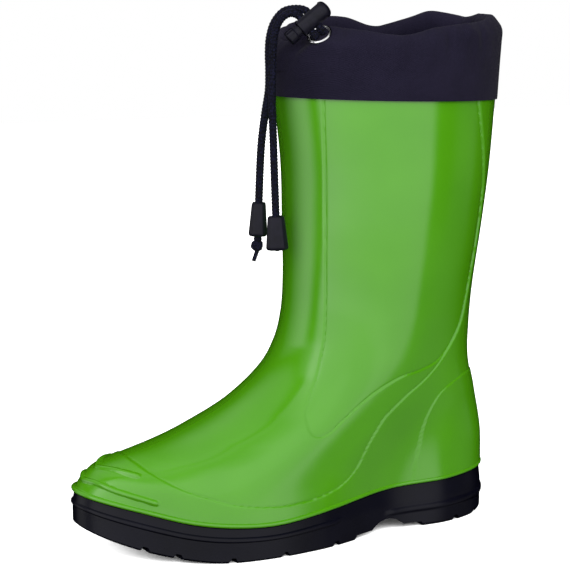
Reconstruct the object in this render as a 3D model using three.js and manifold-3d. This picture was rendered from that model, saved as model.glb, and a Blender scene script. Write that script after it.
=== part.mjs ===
// A child's rubber rain boot, left foot, with a drawstring cuff.
// Millimetres, +Z up, toe towards -X, heel towards +X, outer (lateral) side towards -Y.
// The origin is under the middle of the boot, on the surface that it stands on.
import * as THREE from 'three';
import { mergeVertices } from 'three/addons/utils/BufferGeometryUtils.js';
import Module from 'manifold-3d';

const wasm = await Module();
wasm.setup();

// ---------------------------------------------------------------- driving dimensions
const sole_length = 235;
const heel_x = 104;
const welt_height = 24;          // nominal height of the seam between upper and outsole
const ankle_height = 116;
const shaft_height = 232;        // top edge of the moulded shell
const shaft_front_x = -10.8;     // front of the shaft just above the ankle
const shaft_tilt = 0.024;        // fall of the top edge towards the back
const width_scale = 1;

const shell_wall = 2.4;
const welt_proud = 1.3;
const welt_tall = 2.4;
const gap = 0.3;                 // between pieces that touch
const round_segments = 24;

const sole_rim = 3.6;            // wall of the outsole around the sunken upper
const tray_depth = 10;           // how far the upper sinks into the outsole
const toe_spring = 17;
const toe_spring_start = 0.30;   // share of the length, from the toe
const heel_bevel = 2.5;
const sole_flare = 0.8;
const sole_edge_bevel = 1.4;
const rib_proud = 0.9;
const groove_depth = 3;
const groove_width = 3.4;
const heel_grooves = [0.06, 0.13];   // in shares of the length, from the heel
const front_grooves = [0.48, 0.615, 0.735, 0.84, 0.9];
const waist_shares = [0.215, 0.4];
const shank_lift = 2.8;
const arch_radius = 14.5;
const arch_height = 7.2;
const arch_reach = 13;

const upper_floor = 2.2;
const insole_thickness = 4;
const insole_cover_thickness = 1;
const insole_clearance = 0.6;
const lining_thickness = 0.9;
const lining_clearance = 0.5;

const fabric_thickness = 1.1;
const cuff_hem_drop = 1.4;       // how far the cuff laps over the shell
const tunnel_depth = 15;         // drawstring tunnel, down from the rim
const eyelet_station = 0.17;
const eyelet_wall = 0.6;
const eyelet_flange = 0.95;
const eyelet_play = 0.4;          // room round the two cords in the eyelet
const eyelet_lip = 0.7;
const washer_thickness = 0.5;

const cord_diameter = 4.2;
const cord_clearance = 0.35;
const lock_diameter = 9.6;
const barrel_foot = -6;            // the barrel's ends, from the middle of the cords
const barrel_top = 12.2;
const barrel_crown = 1.4;
const lock_wall = 1.3;
const plunger_travel = 2.5;
const plunger_head = 5;
const spring_wire = 0.55;
const bell_width = 11.6;
const bell_depth = 9.6;
const bell_height = 17.5;
const knot_diameter = 7;

// ---------------------------------------------------------------- colours and finishes
const green_pvc = new THREE.MeshStandardMaterial({ color: 0x57a22c, roughness: 0.2, metalness: 0 });
const navy_pvc = new THREE.MeshStandardMaterial({ color: 0x14141f, roughness: 0.45, metalness: 0 });
const navy_cloth = new THREE.MeshStandardMaterial({ color: 0x1e1c2a, roughness: 0.85, metalness: 0 });
const navy_cord = new THREE.MeshStandardMaterial({ color: 0x171a33, roughness: 0.9, metalness: 0 });
const black_plastic = new THREE.MeshStandardMaterial({ color: 0x16151f, roughness: 0.4, metalness: 0 });
const grey_lining = new THREE.MeshStandardMaterial({ color: 0x8d9096, roughness: 0.95, metalness: 0 });
const pale_foam = new THREE.MeshStandardMaterial({ color: 0x9fa3a6, roughness: 0.95, metalness: 0 });
const nickel = new THREE.MeshStandardMaterial({ color: 0xd8d8dc, roughness: 0.25, metalness: 1 });
const steel = new THREE.MeshStandardMaterial({ color: 0xaeb0b4, roughness: 0.35, metalness: 1 });

const boot = new THREE.Group();

// ---------------------------------------------------------------- small tools
function smooth(knots, values) {
  // A smooth curve through the values, with straight-line slopes at both ends.
  const slope = values.map((value, i) => {
    const before = Math.max(i - 1, 0);
    const after = Math.min(i + 1, values.length - 1);
    return (values[after] - values[before]) / (knots[after] - knots[before]);
  });
  return (at) => {
    const x = THREE.MathUtils.clamp(at, knots[0], knots[knots.length - 1]);
    let i = 0;
    while (i < knots.length - 2 && x > knots[i + 1]) i += 1;
    const step = knots[i + 1] - knots[i];
    const t = (x - knots[i]) / step;
    const rise = values[i + 1] - values[i];
    const bend_in = slope[i] * step - rise;
    const bend_out = rise - slope[i + 1] * step;
    return values[i] + t * rise + t * (1 - t) * ((1 - t) * bend_in + t * bend_out);
  };
}

function mix(a, b, t) {
  return a + (b - a) * t;
}

function add_piece(name, geometry, material) {
  geometry.computeVertexNormals();
  const mesh = new THREE.Mesh(geometry, material);
  mesh.name = name;
  boot.add(mesh);
  return mesh;
}

function to_manifold(geometry) {
  const bare = geometry.clone();
  bare.deleteAttribute('normal');
  bare.deleteAttribute('uv');
  const merged = mergeVertices(bare, 1e-4);
  return new wasm.Manifold(new wasm.Mesh({
    numProp: 3,
    vertProperties: new Float32Array(merged.attributes.position.array),
    triVerts: new Uint32Array(merged.index.array),
  }));
}

function from_manifold(solid) {
  const mesh = solid.getMesh();
  const geometry = new THREE.BufferGeometry();
  geometry.setAttribute('position', new THREE.BufferAttribute(mesh.vertProperties, 3));
  geometry.setIndex(new THREE.BufferAttribute(mesh.triVerts, 1));
  return geometry;
}

function cut(geometry, cutters) {
  return from_manifold(cutters.reduce(
    (solid, cutter) => solid.subtract(to_manifold(cutter)),
    to_manifold(geometry),
  ));
}

function loft(rings, { closed = false } = {}) {
  // Joins rings of equal count into one skin. An open stack gets a ladder cap at each end,
  // which pairs the lateral points of a ring with its medial points; a closed one is a torus.
  const count = rings[0].length;
  const positions = rings.flat().flatMap((point) => [point.x, point.y, point.z]);
  const index = [];
  const last = closed ? rings.length : rings.length - 1;
  for (let i = 0; i < last; i += 1) {
    const row = i * count;
    const next_row = ((i + 1) % rings.length) * count;
    for (let j = 0; j < count; j += 1) {
      const k = (j + 1) % count;
      index.push(row + j, row + k, next_row + k, row + j, next_row + k, next_row + j);
    }
  }
  if (!closed) {
    const top = (rings.length - 1) * count;
    for (let j = 0; j < count / 2; j += 1) {
      const mate = (count - j) % count;
      const next_mate = count - j - 1;
      for (const [base, flip] of [[0, true], [top, false]]) {
        const quad = [base + j, base + j + 1, base + next_mate, base + mate];
        const faces = [[quad[0], quad[1], quad[2]], [quad[0], quad[2], quad[3]]];
        for (const face of faces) {
          if (new Set(face).size === 3) index.push(...(flip ? face.reverse() : face));
        }
      }
    }
  }
  const geometry = new THREE.BufferGeometry();
  geometry.setAttribute('position', new THREE.Float32BufferAttribute(positions, 3));
  geometry.setIndex(index);
  return geometry;
}

function inset(ring, distance) {
  // Moves a ring inwards in plan by a distance; a negative one moves it outwards.
  return ring.map((point, i) => {
    const before = ring[(i + ring.length - 1) % ring.length];
    const after = ring[(i + 1) % ring.length];
    const run = new THREE.Vector2(after.x - before.x, after.y - before.y).normalize();
    return new THREE.Vector3(point.x - run.y * distance, point.y + run.x * distance, point.z);
  });
}

function at_height(ring, height) {
  return ring.map((point) => new THREE.Vector3(point.x, point.y, height(point)));
}

function tube(points, diameter, sides, steps, closed = false) {
  const curve = new THREE.CatmullRomCurve3(points, closed, 'centripetal');
  const section = new THREE.Shape();
  for (let i = 0; i < sides; i += 1) {
    const angle = (i + 0.5) / sides * Math.PI * 2;
    const x = Math.cos(angle) * diameter / 2;
    const y = Math.sin(angle) * diameter / 2;
    if (i === 0) section.moveTo(x, y);
    else section.lineTo(x, y);
  }
  section.closePath();
  return new THREE.ExtrudeGeometry(section, { extrudePath: curve, steps, curveSegments: 1 });
}

// ---------------------------------------------------------------- the form of the upper
// Levels: 0 at the welt, 1 at the ankle, 2 at the top edge of the shell.
// Stations: 0 at the front of a ring, 1 at its back, on either side.
const toe_x = heel_x - sole_length;
const station_knots = [0, 0.125, 0.25, 0.375, 0.5, 0.625, 0.75, 0.875, 1];
const ring_stations = 19;

const front_reach = smooth(
  [0, 0.087, 0.174, 0.283, 0.391, 0.522, 0.674, 0.826, 1, 1.164, 1.38, 1.68, 2],
  [0, 0.04, 0.105, 0.264, 0.475, 0.71, 0.878, 0.957, 0.993, 1.004, 1.003, 0.997, 0.962],
);
const back_lean = smooth(
  [0, 0.228, 0.5, 0.717, 0.935, 1.12, 1.38, 1.68, 2],
  [0, -0.8, -5.7, -10.5, -10.2, -8.3, -4.1, 0.3, 3.4],
);
const welt_rise = smooth(
  [0, 0.15, 0.3, 0.45, 0.6, 0.7, 0.8, 0.9, 1],
  [2.6, 0.6, -0.6, -3.2, -6.6, -5.8, -2.9, 3.4, 9.6],
);
const section_levels = [0, 0.228, 0.5, 0.772, 1.078, 1.466, 2];
const lateral_widths = [
  [16.5, 31.5, 46.5, 45.5, 33.5, 33, 22.3],
  [17.5, 33.5, 45, 43, 35, 32.5, 21.5],
  [18.5, 34, 42.5, 41.5, 37, 31, 19],
  [17.5, 32.5, 41.5, 43, 38.5, 31, 18.5],
  [17, 31.5, 42, 45, 41, 32, 17.5],
  [18.5, 34.5, 45, 48.5, 44.5, 34.5, 18.5],
  [19.5, 36, 47, 51, 47, 36, 19.5],
];
const medial_widths = [
  [19, 34, 38.5, 31.5, 28.5, 30.5, 21.5],
  [19.5, 34.5, 39, 34.5, 32, 30.5, 21],
  [18.5, 33.5, 39.5, 38, 34.5, 30, 19],
  [17.5, 32, 40, 41, 37.5, 30.5, 18.5],
  [17, 31.5, 42, 45, 41, 32, 17.5],
  [18.5, 34.5, 45, 48.5, 44.5, 34.5, 18.5],
  [19.5, 36, 47, 51, 47, 36, 19.5],
];

function station_curves(table) {
  // One curve per level, mirrored past both ends so that the ring closes round.
  return table.map((row) => {
    const half = [0, ...row, 0];
    const knots = [-station_knots[1], ...station_knots, 1 + station_knots[1]];
    return smooth(knots, [-half[1], ...half, -half[7]]);
  });
}

const lateral_curves = station_curves(lateral_widths);
const medial_curves = station_curves(medial_widths);

function half_width(level, station, side) {
  const curves = side < 0 ? lateral_curves : medial_curves;
  const values = curves.map((curve) => curve(station));
  return smooth(section_levels, values)(level) * width_scale;
}

function level_height(level) {
  return level < 1
    ? mix(welt_height, ankle_height, level)
    : mix(ankle_height, shaft_height, level - 1);
}

function front_x(level) {
  return mix(toe_x, shaft_front_x, front_reach(level));
}

function back_x(level) {
  return heel_x + back_lean(level);
}

function length_share(x) {
  return THREE.MathUtils.clamp((heel_x - x) / sole_length, 0, 1);
}

function welt_z(x) {
  return welt_height + welt_rise(length_share(x));
}

const shaft_middle_x = (front_x(2) + back_x(2)) / 2;

function shell_point(level, station, side) {
  const run = (1 - Math.cos(Math.PI * station)) / 2;
  const x = mix(front_x(level), back_x(level), run);
  const fade = THREE.MathUtils.smoothstep(0.826 - level, 0, 0.826);
  const tilt = shaft_tilt * (x - shaft_middle_x) * (level / 2) ** 2;
  const z = level_height(level) + fade * (welt_z(x) - welt_height) - tilt;
  return new THREE.Vector3(x, side * half_width(level, station, side), z);
}

function shell_ring(level) {
  const ring = [];
  for (let i = 0; i < ring_stations; i += 1) {
    ring.push(shell_point(level, i / (ring_stations - 1), -1));
  }
  for (let i = ring_stations - 2; i > 0; i -= 1) {
    ring.push(shell_point(level, i / (ring_stations - 1), 1));
  }
  return ring;
}

function thicken(rings, distance) {
  // Moves each point inwards along the normal of the skin that the rings make.
  return rings.map((ring, i) => ring.map((point, j) => {
    const below = rings[Math.max(i - 1, 0)][j];
    const above = rings[Math.min(i + 1, rings.length - 1)][j];
    const before = ring[(j + ring.length - 1) % ring.length];
    const after = ring[(j + 1) % ring.length];
    const rise = above.clone().sub(below);
    const round = after.clone().sub(before);
    const normal = round.cross(rise).normalize();
    return point.clone().addScaledVector(normal, -distance);
  }));
}

// ---------------------------------------------------------------- outsole
function ground_z(x) {
  const share = length_share(x);
  const toe = Math.max(share - (1 - toe_spring_start), 0) / toe_spring_start;
  const heel = Math.max(0.07 - share, 0) / 0.07;
  return toe_spring * toe ** 2 + heel_bevel * heel ** 2;
}

function tray_z(x) {
  return welt_z(x) - tray_depth;
}

const welt_ring = at_height(shell_ring(0), (point) => welt_z(point.x));

function rib_strength(x) {
  // The side rib runs round the toe as far as the waist, and again round the heel.
  const share = length_share(x);
  const front = THREE.MathUtils.smoothstep(share, 0.44, 0.47);
  const heel = 1 - THREE.MathUtils.smoothstep(share, 0.29, 0.32);
  return Math.max(front, heel);
}

function rib_drop(x) {
  // The rib's middle, as a share of the wall's height below the welt: lower on the heel.
  return mix(0.55, 0.32, THREE.MathUtils.smoothstep(length_share(x), 0.34, 0.42));
}

function side_ring(drop, proud, rib_share = 0) {
  // A ring on the sidewall: drop is the share of the wall's height below the welt, and
  // rib_share is 1 for a ring that keeps its distance from the rib's middle.
  return welt_ring.map((point, i, ring) => {
    const before = ring[(i + ring.length - 1) % ring.length];
    const after = ring[(i + 1) % ring.length];
    const run = new THREE.Vector2(after.x - before.x, after.y - before.y).normalize();
    const out = proud(point.x);
    const top = welt_z(point.x) - gap / 2;
    return new THREE.Vector3(
      point.x + run.y * out,
      point.y - run.x * out,
      mix(top, ground_z(point.x), drop + rib_share * rib_drop(point.x)),
    );
  });
}

function chevron(x, half_span, sweep) {
  // A V-shaped groove cutter that crosses the tread, its point towards the toe.
  const shape = new THREE.Shape();
  shape.moveTo(-groove_width / 2, 0);
  shape.lineTo(sweep - groove_width / 2, half_span);
  shape.lineTo(sweep + groove_width / 2, half_span);
  shape.lineTo(groove_width / 2, 0);
  shape.lineTo(sweep + groove_width / 2, -half_span);
  shape.lineTo(sweep - groove_width / 2, -half_span);
  shape.closePath();
  const geometry = new THREE.ExtrudeGeometry(shape, { depth: 40, bevelEnabled: false });
  geometry.translate(x, 0, ground_z(x) + groove_depth - 40);
  return geometry;
}

function outsole_geometry() {
  const flare = () => sole_flare;
  const rib = (x) => sole_flare + rib_proud * rib_strength(x);
  const body = loft([
    at_height(inset(welt_ring, sole_rim), (point) => tray_z(point.x)),
    at_height(inset(welt_ring, sole_rim), (point) => welt_z(point.x) - gap / 2),
    side_ring(0, () => 0),
    side_ring(-0.1, () => 0.3, 1),
    side_ring(-0.06, rib, 1),
    side_ring(0.06, rib, 1),
    side_ring(0.12, flare, 1),
    side_ring(0.93, flare),
    side_ring(1, () => sole_flare - sole_edge_bevel),
  ].reverse());
  const [waist_back, waist_front] = waist_shares.map((share) => heel_x - share * sole_length);
  const waist_middle = (waist_front + waist_back) / 2;
  const shank = new THREE.BoxGeometry(waist_back - waist_front, 200, 40);
  shank.translate(waist_middle, 0, shank_lift - 20);
  const arches = [-1, 1].map((side) => {
    const arch = new THREE.CylinderGeometry(arch_radius, arch_radius, 60, 40);
    const edge = half_width(0, 0.63, side);
    arch.translate(waist_middle, side * (edge - arch_reach + 30), arch_height - arch_radius);
    return arch;
  });
  const treads = [];
  for (const share of front_grooves) {
    treads.push(chevron(heel_x - share * sole_length, 60, 7));
  }
  for (const share of heel_grooves) {
    treads.push(chevron(heel_x - share * sole_length, 60, 4));
  }
  return cut(body, [shank, ...arches, ...treads]);
}

// ---------------------------------------------------------------- upper, lining and insole
const wall_levels = [
  0.026, 0.06, 0.1, 0.15, 0.2, 0.26, 0.32, 0.39, 0.46, 0.53, 0.61, 0.69, 0.78, 0.88, 1,
  1.15, 1.35, 1.6, 1.8, 2,
];
const wall_rings = wall_levels.map(shell_ring);
const sunk_inset = sole_rim + gap;

function upper_geometry() {
  const under = (point) => welt_z(point.x) + gap / 2;
  const inner = thicken(wall_rings, shell_wall).reverse();
  const sunk = inset(welt_ring, sunk_inset);
  const sunk_inner = inset(welt_ring, sunk_inset + shell_wall);
  return loft([
    at_height(sunk, (point) => tray_z(point.x) + gap),
    at_height(sunk, under),
    at_height(inset(welt_ring, -welt_proud * 0.8), under),
    at_height(inset(welt_ring, -welt_proud), (point) => welt_z(point.x) + welt_tall * 0.4),
    at_height(inset(welt_ring, -welt_proud * 0.6), (point) => welt_z(point.x) + welt_tall * 0.85),
    ...wall_rings.map((ring, i) => (i === 0
      ? at_height(ring, (point) => Math.max(point.z, welt_z(point.x) + welt_tall))
      : ring)),
    ...inner,
    at_height(sunk_inner, (point) => tray_z(point.x) + gap + upper_floor),
  ]);
}

function lining_geometry() {
  const levels = wall_rings.slice(1);
  const outer = thicken(levels, shell_wall + lining_clearance);
  const inner = thicken(levels, shell_wall + lining_clearance + lining_thickness).reverse();
  return loft([...outer, ...inner], { closed: true });
}

function floor_z(x) {
  return tray_z(x) + gap + upper_floor + gap;
}

function insole_pad(bottom, thickness) {
  const outline = inset(welt_ring, sunk_inset + shell_wall + insole_clearance);
  return loft([
    at_height(outline, (point) => floor_z(point.x) + bottom),
    at_height(outline, (point) => floor_z(point.x) + bottom + thickness),
  ]);
}

// ---------------------------------------------------------------- cuff
const rim_lateral = smooth(
  [0, 0.1, 0.175, 0.26, 0.34, 0.42, 0.52, 0.7, 0.85, 1],
  [27, 29, 35.5, 34.5, 33, 31.5, 36, 39.5, 43, 44],
);
const rim_medial = smooth(
  [0, 0.1, 0.25, 0.4, 0.5, 0.6, 0.7, 0.8, 0.9, 1],
  [27, 29, 35, 40, 40.5, 36, 39.5, 43, 41.5, 44],
);

function rim_height(station, side) {
  return side < 0 ? rim_lateral(station) : rim_medial(station);
}

function eyelet_pull(station, side) {
  // How far the drawstring's pull flattens the cuff near the eyelet, from 0 to 1.
  if (side > 0) return 0;
  const distance = Math.abs(station - eyelet_station);
  return 1 - THREE.MathUtils.smoothstep(distance, 0.05, 0.12);
}

function cuff_line(station, side) {
  // The fabric's middle line in section: outward offset from the shell and height over its edge.
  const rim = rim_height(station, side);
  const pull = eyelet_pull(station, side);
  const bulge = 2.4 * THREE.MathUtils.smoothstep(station, 0.6, 1);
  const plain = [
    [1.2, -cuff_hem_drop], [1.5, 1], [2.2 + bulge, 0.4 * rim], [2.2 + bulge, rim - tunnel_depth],
    [1.6 + bulge, rim - 8], [0.2, rim - 3.4], [-3, rim - 0.6], [-6.4, rim - 3.2],
    [-7.2, rim - 8], [-5.6, rim - 13], [-0.8, rim - tunnel_depth - 0.5],
  ];
  const pulled = [
    [1.2, -cuff_hem_drop], [1.5, 1], [2.3, 0.3 * rim], [2.4, rim - tunnel_depth],
    [1.9, rim - 9.3], [-2.5, rim - 5.3], [-6.9, rim - 1.3], [-10.2, rim - 3],
    [-11.4, rim - 8], [-9.8, rim - 13], [-1.2, rim - tunnel_depth - 1],
  ];
  return plain.map((point, i) => new THREE.Vector2(
    mix(point[0], pulled[i][0], pull),
    mix(point[1], pulled[i][1], pull),
  ));
}

function ribbon(line, thickness) {
  // A closed outline of even thickness around a middle line.
  const sides = [1, -1].map((hand) => line.map((point, i) => {
    const before = line[Math.max(i - 1, 0)];
    const after = line[Math.min(i + 1, line.length - 1)];
    const run = after.clone().sub(before).normalize();
    const step = hand * thickness / 2;
    return new THREE.Vector2(point.x + run.y * step, point.y - run.x * step);
  }));
  return [...sides[1], ...sides[0].reverse()];
}

const top_ring = shell_ring(2);

function ring_place(i) {
  const side = i < ring_stations ? -1 : 1;
  const step = side < 0 ? i : 2 * (ring_stations - 1) - i;
  return { side, station: step / (ring_stations - 1) };
}

function outward(i) {
  const before = top_ring[(i + top_ring.length - 1) % top_ring.length];
  const after = top_ring[(i + 1) % top_ring.length];
  return new THREE.Vector3(after.y - before.y, before.x - after.x, 0).normalize();
}

function cuff_place(i, offset) {
  // A point given by its section coordinates, at one of the ring's places.
  return top_ring[i].clone()
    .addScaledVector(outward(i), offset.x)
    .add(new THREE.Vector3(0, 0, offset.y));
}

function cuff_geometry() {
  const sections = top_ring.map((point, i) => {
    const { station, side } = ring_place(i);
    return ribbon(cuff_line(station, side), fabric_thickness).map((offset) => cuff_place(i, offset));
  });
  return loft(sections, { closed: true });
}

// ---------------------------------------------------------------- eyelet and its axis
const eyelet_base = shell_point(2, eyelet_station, -1);
const eyelet_next = shell_point(2, eyelet_station + 0.01, -1);
const eyelet_out = new THREE.Vector3(
  eyelet_next.y - eyelet_base.y,
  eyelet_base.x - eyelet_next.x,
  0,
).normalize();
const eyelet_line = cuff_line(eyelet_station, -1);
const eyelet_slope = eyelet_line[6].clone().sub(eyelet_line[4]).normalize();
const eyelet_axis = new THREE.Vector3()
  .addScaledVector(eyelet_out, eyelet_slope.y)
  .add(new THREE.Vector3(0, 0, -eyelet_slope.x))
  .normalize();
const eyelet_centre = eyelet_base.clone()
  .addScaledVector(eyelet_out, eyelet_line[5].x)
  .add(new THREE.Vector3(0, 0, eyelet_line[5].y));
const eyelet_hole = 2 * cord_diameter + 2 * cord_clearance + 2 * eyelet_play;
const eyelet_barrel = eyelet_hole + 2 * eyelet_wall;
const eyelet_outer = eyelet_barrel + 2 * eyelet_flange;
const face_gap = fabric_thickness / 2 + gap + 0.25;

function turn_to(axis) {
  return new THREE.Quaternion().setFromUnitVectors(new THREE.Vector3(0, 1, 0), axis);
}

function lathe(profile, segments) {
  return new THREE.LatheGeometry(profile.map(([r, y]) => new THREE.Vector2(r, y)), segments);
}

function eyelet_geometry() {
  const hole = eyelet_hole / 2;
  const barrel = eyelet_barrel / 2;
  const outer = eyelet_outer / 2;
  const back = -face_gap - washer_thickness - gap;
  return lathe([
    [hole, back], [barrel, back], [barrel, face_gap], [outer - 0.4, face_gap],
    [outer, face_gap + 0.25], [outer - 0.8, face_gap + eyelet_lip],
    [hole + 0.5, face_gap + eyelet_lip], [hole, face_gap + 0.2], [hole, back],
  ], round_segments);
}

function washer_geometry() {
  const inner = eyelet_barrel / 2 + gap;
  const outer = eyelet_outer / 2 - 0.6;
  const top = -face_gap;
  const bottom = top - washer_thickness;
  return lathe([[inner, bottom], [outer, bottom], [outer, top], [inner, top], [inner, bottom]],
    round_segments);
}

function turned(geometry, axis, centre) {
  geometry.applyQuaternion(turn_to(axis));
  geometry.translate(centre.x, centre.y, centre.z);
  return geometry;
}

function eyelet_cutters() {
  // The hole for the eyelet's barrel, and the seats where its two faces press the cloth flat.
  const hole_radius = eyelet_barrel / 2 + gap;
  const seat_radius = eyelet_outer / 2 + gap;
  const seat_depth = 3;
  const hole = new THREE.CylinderGeometry(hole_radius, hole_radius, 5, round_segments);
  const front = new THREE.CylinderGeometry(seat_radius, seat_radius, seat_depth, 32);
  front.translate(0, face_gap - gap + seat_depth / 2, 0);
  const back = new THREE.CylinderGeometry(seat_radius, seat_radius, seat_depth, 32);
  back.translate(0, gap - face_gap - seat_depth / 2, 0);
  return [hole, front, back].map((cutter) => turned(cutter, eyelet_axis, eyelet_centre));
}

// ---------------------------------------------------------------- cord lock
// The two cords leave the eyelet along lock_cord_run; the barrel crosses them.
const lock_cord_run = new THREE.Vector3(-0.533, 0.395, 0.749).normalize();
const lock_axis = new THREE.Vector3(0.734, -0.225, 0.64);
lock_axis.addScaledVector(lock_cord_run, -lock_axis.dot(lock_cord_run)).normalize();
const lock_clearance = 2.6;       // from the middle of the eyelet's mouth to the barrel's side
const lock_standoff = lock_diameter / 2 + lock_clearance;
const lock_rise = 2.2;           // straight out of the eyelet before the cords lean over
const lock_centre = eyelet_centre.clone()
  .addScaledVector(eyelet_axis, lock_rise)
  .addScaledVector(lock_cord_run, lock_standoff);
const cord_pitch = cord_diameter + cord_clearance;
const slot_width = cord_diameter + 2 * cord_clearance;
const bore_diameter = lock_diameter - 2 * lock_wall;
const plunger_diameter = bore_diameter - 2 * gap;
const bore_end = barrel_top - barrel_crown;
const cords_reach = cord_pitch / 2 + cord_diameter / 2 + 0.1;
const plunger_end = cords_reach + 1.2;
const slot_foot = -cords_reach - 0.1;
const slot_top = barrel_top - 3;
const lock_turn = new THREE.Matrix4().makeBasis(
  new THREE.Vector3().crossVectors(lock_axis, lock_cord_run).normalize(),
  lock_axis,
  lock_cord_run,
).setPosition(lock_centre);

function slot_cutter(start, end) {
  const box = new THREE.BoxGeometry(slot_width, end - start, lock_diameter * 2);
  box.translate(0, (start + end) / 2, 0);
  return box;
}

function barrel_geometry() {
  const r = lock_diameter / 2;
  const bore = bore_diameter / 2;
  const shell = lathe([
    [bore, barrel_foot], [r - 0.5, barrel_foot], [r, barrel_foot + 0.5], [r, barrel_top - 2.6],
    [r - 0.7, barrel_top - 1], [r - 2.2, barrel_top - 0.2], [0, barrel_top], [0, bore_end],
    [bore, bore_end], [bore, barrel_foot],
  ], round_segments);
  return cut(shell, [slot_cutter(slot_foot, slot_top)]);
}

function plunger_geometry() {
  const r = plunger_diameter / 2;
  const head = lock_diameter / 2 - 0.7;
  const collar = barrel_foot - plunger_travel - gap;
  const foot = collar - plunger_head;
  const body = lathe([
    [0, foot], [head - 0.7, foot], [head, foot + 0.7], [head, collar], [r, collar],
    [r, plunger_end], [0, plunger_end], [0, foot],
  ], round_segments);
  const grips = [];
  for (let i = 0; i < 10; i += 1) {
    const notch = new THREE.BoxGeometry(0.9, plunger_head - 1.4, 0.9);
    notch.translate(head, foot + plunger_head / 2, 0);
    notch.rotateY(i / 10 * Math.PI * 2);
    grips.push(notch);
  }
  return cut(body, [slot_cutter(slot_foot - plunger_travel, cords_reach), ...grips]);
}

function spring_geometry() {
  // The wire sits in the end of the bore, above the plunger.
  const wire = spring_wire;
  const start = plunger_end + gap + wire / 2;
  const end = bore_end - gap - wire / 2;
  const radius = bore_diameter / 2 - gap - wire;
  const turns = 3;
  const points = [];
  for (let i = 0; i <= turns * 8; i += 1) {
    const angle = i / 8 * Math.PI * 2;
    const y = mix(start, end, i / (turns * 8));
    points.push(new THREE.Vector3(Math.cos(angle) * radius, y, Math.sin(angle) * radius));
  }
  return tube(points, wire, 5, turns * 9);
}

// ---------------------------------------------------------------- cords
// Each strand leaves the tunnel through the eyelet and crosses the lock; then it hangs
// in front of the shaft. The hanging routes are chosen by hand.
const hang_routes = {
  a: [
    [-16.4, -16.9, 278.2], [-21.2, -13, 276.8], [-24.4, -9.4, 271], [-25.4, -7.4, 263],
    [-25.1, -6.5, 255], [-24.6, -5.8, 246], [-24.4, -4.9, 236], [-25.3, -3.6, 227],
    [-26.1, -2, 218], [-26.7, -0.5, 207.6], [-27, 0.5, 196], [-27.3, 1, 184],
    [-27.6, 1.3, 172], [-28, 1.5, 157],
  ],
  b: [
    [-18.4, -17.4, 274.2], [-22, -15, 271.6], [-24.2, -13.1, 265.5], [-25.1, -12.2, 257],
    [-25.3, -11.7, 247], [-25.6, -11.4, 236], [-25.4, -11.1, 226], [-24.8, -10.8, 215],
    [-24.2, -10.6, 200], [-23.6, -10.4, 186], [-23, -10.3, 172], [-22.4, -10.2, 160],
  ],
};
const strand_hand = { a: 1, b: -1 };
const strand_sides = 8;

function strand_offset(name) {
  return lock_axis.clone().multiplyScalar(strand_hand[name] * cord_pitch / 2);
}

function tunnel_point(station, side) {
  // The middle of the drawstring tunnel, between its outer and inner walls.
  const line = cuff_line(station, side);
  const middle = line[4].clone().add(line[8]).multiplyScalar(0.5);
  const base = shell_point(2, station, side);
  const next = shell_point(2, station + 0.01, side);
  const out = new THREE.Vector3(next.y - base.y, base.x - next.x, 0).normalize();
  if (side > 0) out.negate();
  return base.addScaledVector(out, middle.x).add(new THREE.Vector3(0, 0, middle.y));
}

// In stations, from the eyelet to each end of the hidden cord: a thicker cord needs more room.
const tunnel_end_gap = 0.01476 * cord_diameter;
const lead_gap = 0.2143 * cord_diameter;

function tunnel_cord_geometry() {
  // From the eyelet back along the lateral side, round the heel and forward again.
  const points = [];
  for (let i = 0; i <= 16; i += 1) {
    points.push(tunnel_point(mix(eyelet_station + tunnel_end_gap, 0.985, i / 16), -1));
  }
  for (let i = 0; i <= 19; i += 1) {
    points.push(tunnel_point(mix(0.985, 0.015, i / 19), 1));
  }
  for (let i = 1; i <= 2; i += 1) {
    points.push(tunnel_point(mix(0.015, eyelet_station - tunnel_end_gap, i / 2), -1));
  }
  return tube(points, cord_diameter, strand_sides, 76);
}

function lead_points(name) {
  const hand = strand_hand[name];
  const station = eyelet_station + hand * tunnel_end_gap;
  const start = tunnel_point(station, -1);
  const far = tunnel_point(station + hand * 0.02, -1);
  const run = start.clone().sub(far).normalize();
  const across = lock_axis.clone().addScaledVector(eyelet_axis, -lock_axis.dot(eyelet_axis))
    .normalize().multiplyScalar(hand * cord_pitch / 2);
  const hole = eyelet_centre.clone().add(across);
  return [
    start.clone().addScaledVector(run, lead_gap),
    hole.clone().addScaledVector(eyelet_axis, -3.4),
    hole.clone().addScaledVector(eyelet_axis, -1.4),
    hole.clone().addScaledVector(eyelet_axis, 0.4),
    hole.clone().addScaledVector(eyelet_axis, 2),
    lock_centre.clone().add(strand_offset(name))
      .addScaledVector(lock_cord_run, -lock_diameter / 2 - 1),
  ];
}

function end_points(name) {
  const crossing = lock_centre.clone().add(strand_offset(name));
  return [
    crossing.clone().addScaledVector(lock_cord_run, -lock_diameter / 2 - 1 + 3 * gap),
    crossing,
    crossing.clone().addScaledVector(lock_cord_run, lock_diameter / 2 + 0.7),
    ...hang_routes[name].map((point) => new THREE.Vector3(...point)),
  ];
}

// ---------------------------------------------------------------- knots and cord ends
function strand_end(name) {
  const route = hang_routes[name].map((point) => new THREE.Vector3(...point));
  const foot = route[route.length - 1];
  const above = route[route.length - 2];
  return { foot, up: above.clone().sub(foot).normalize() };
}

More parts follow.
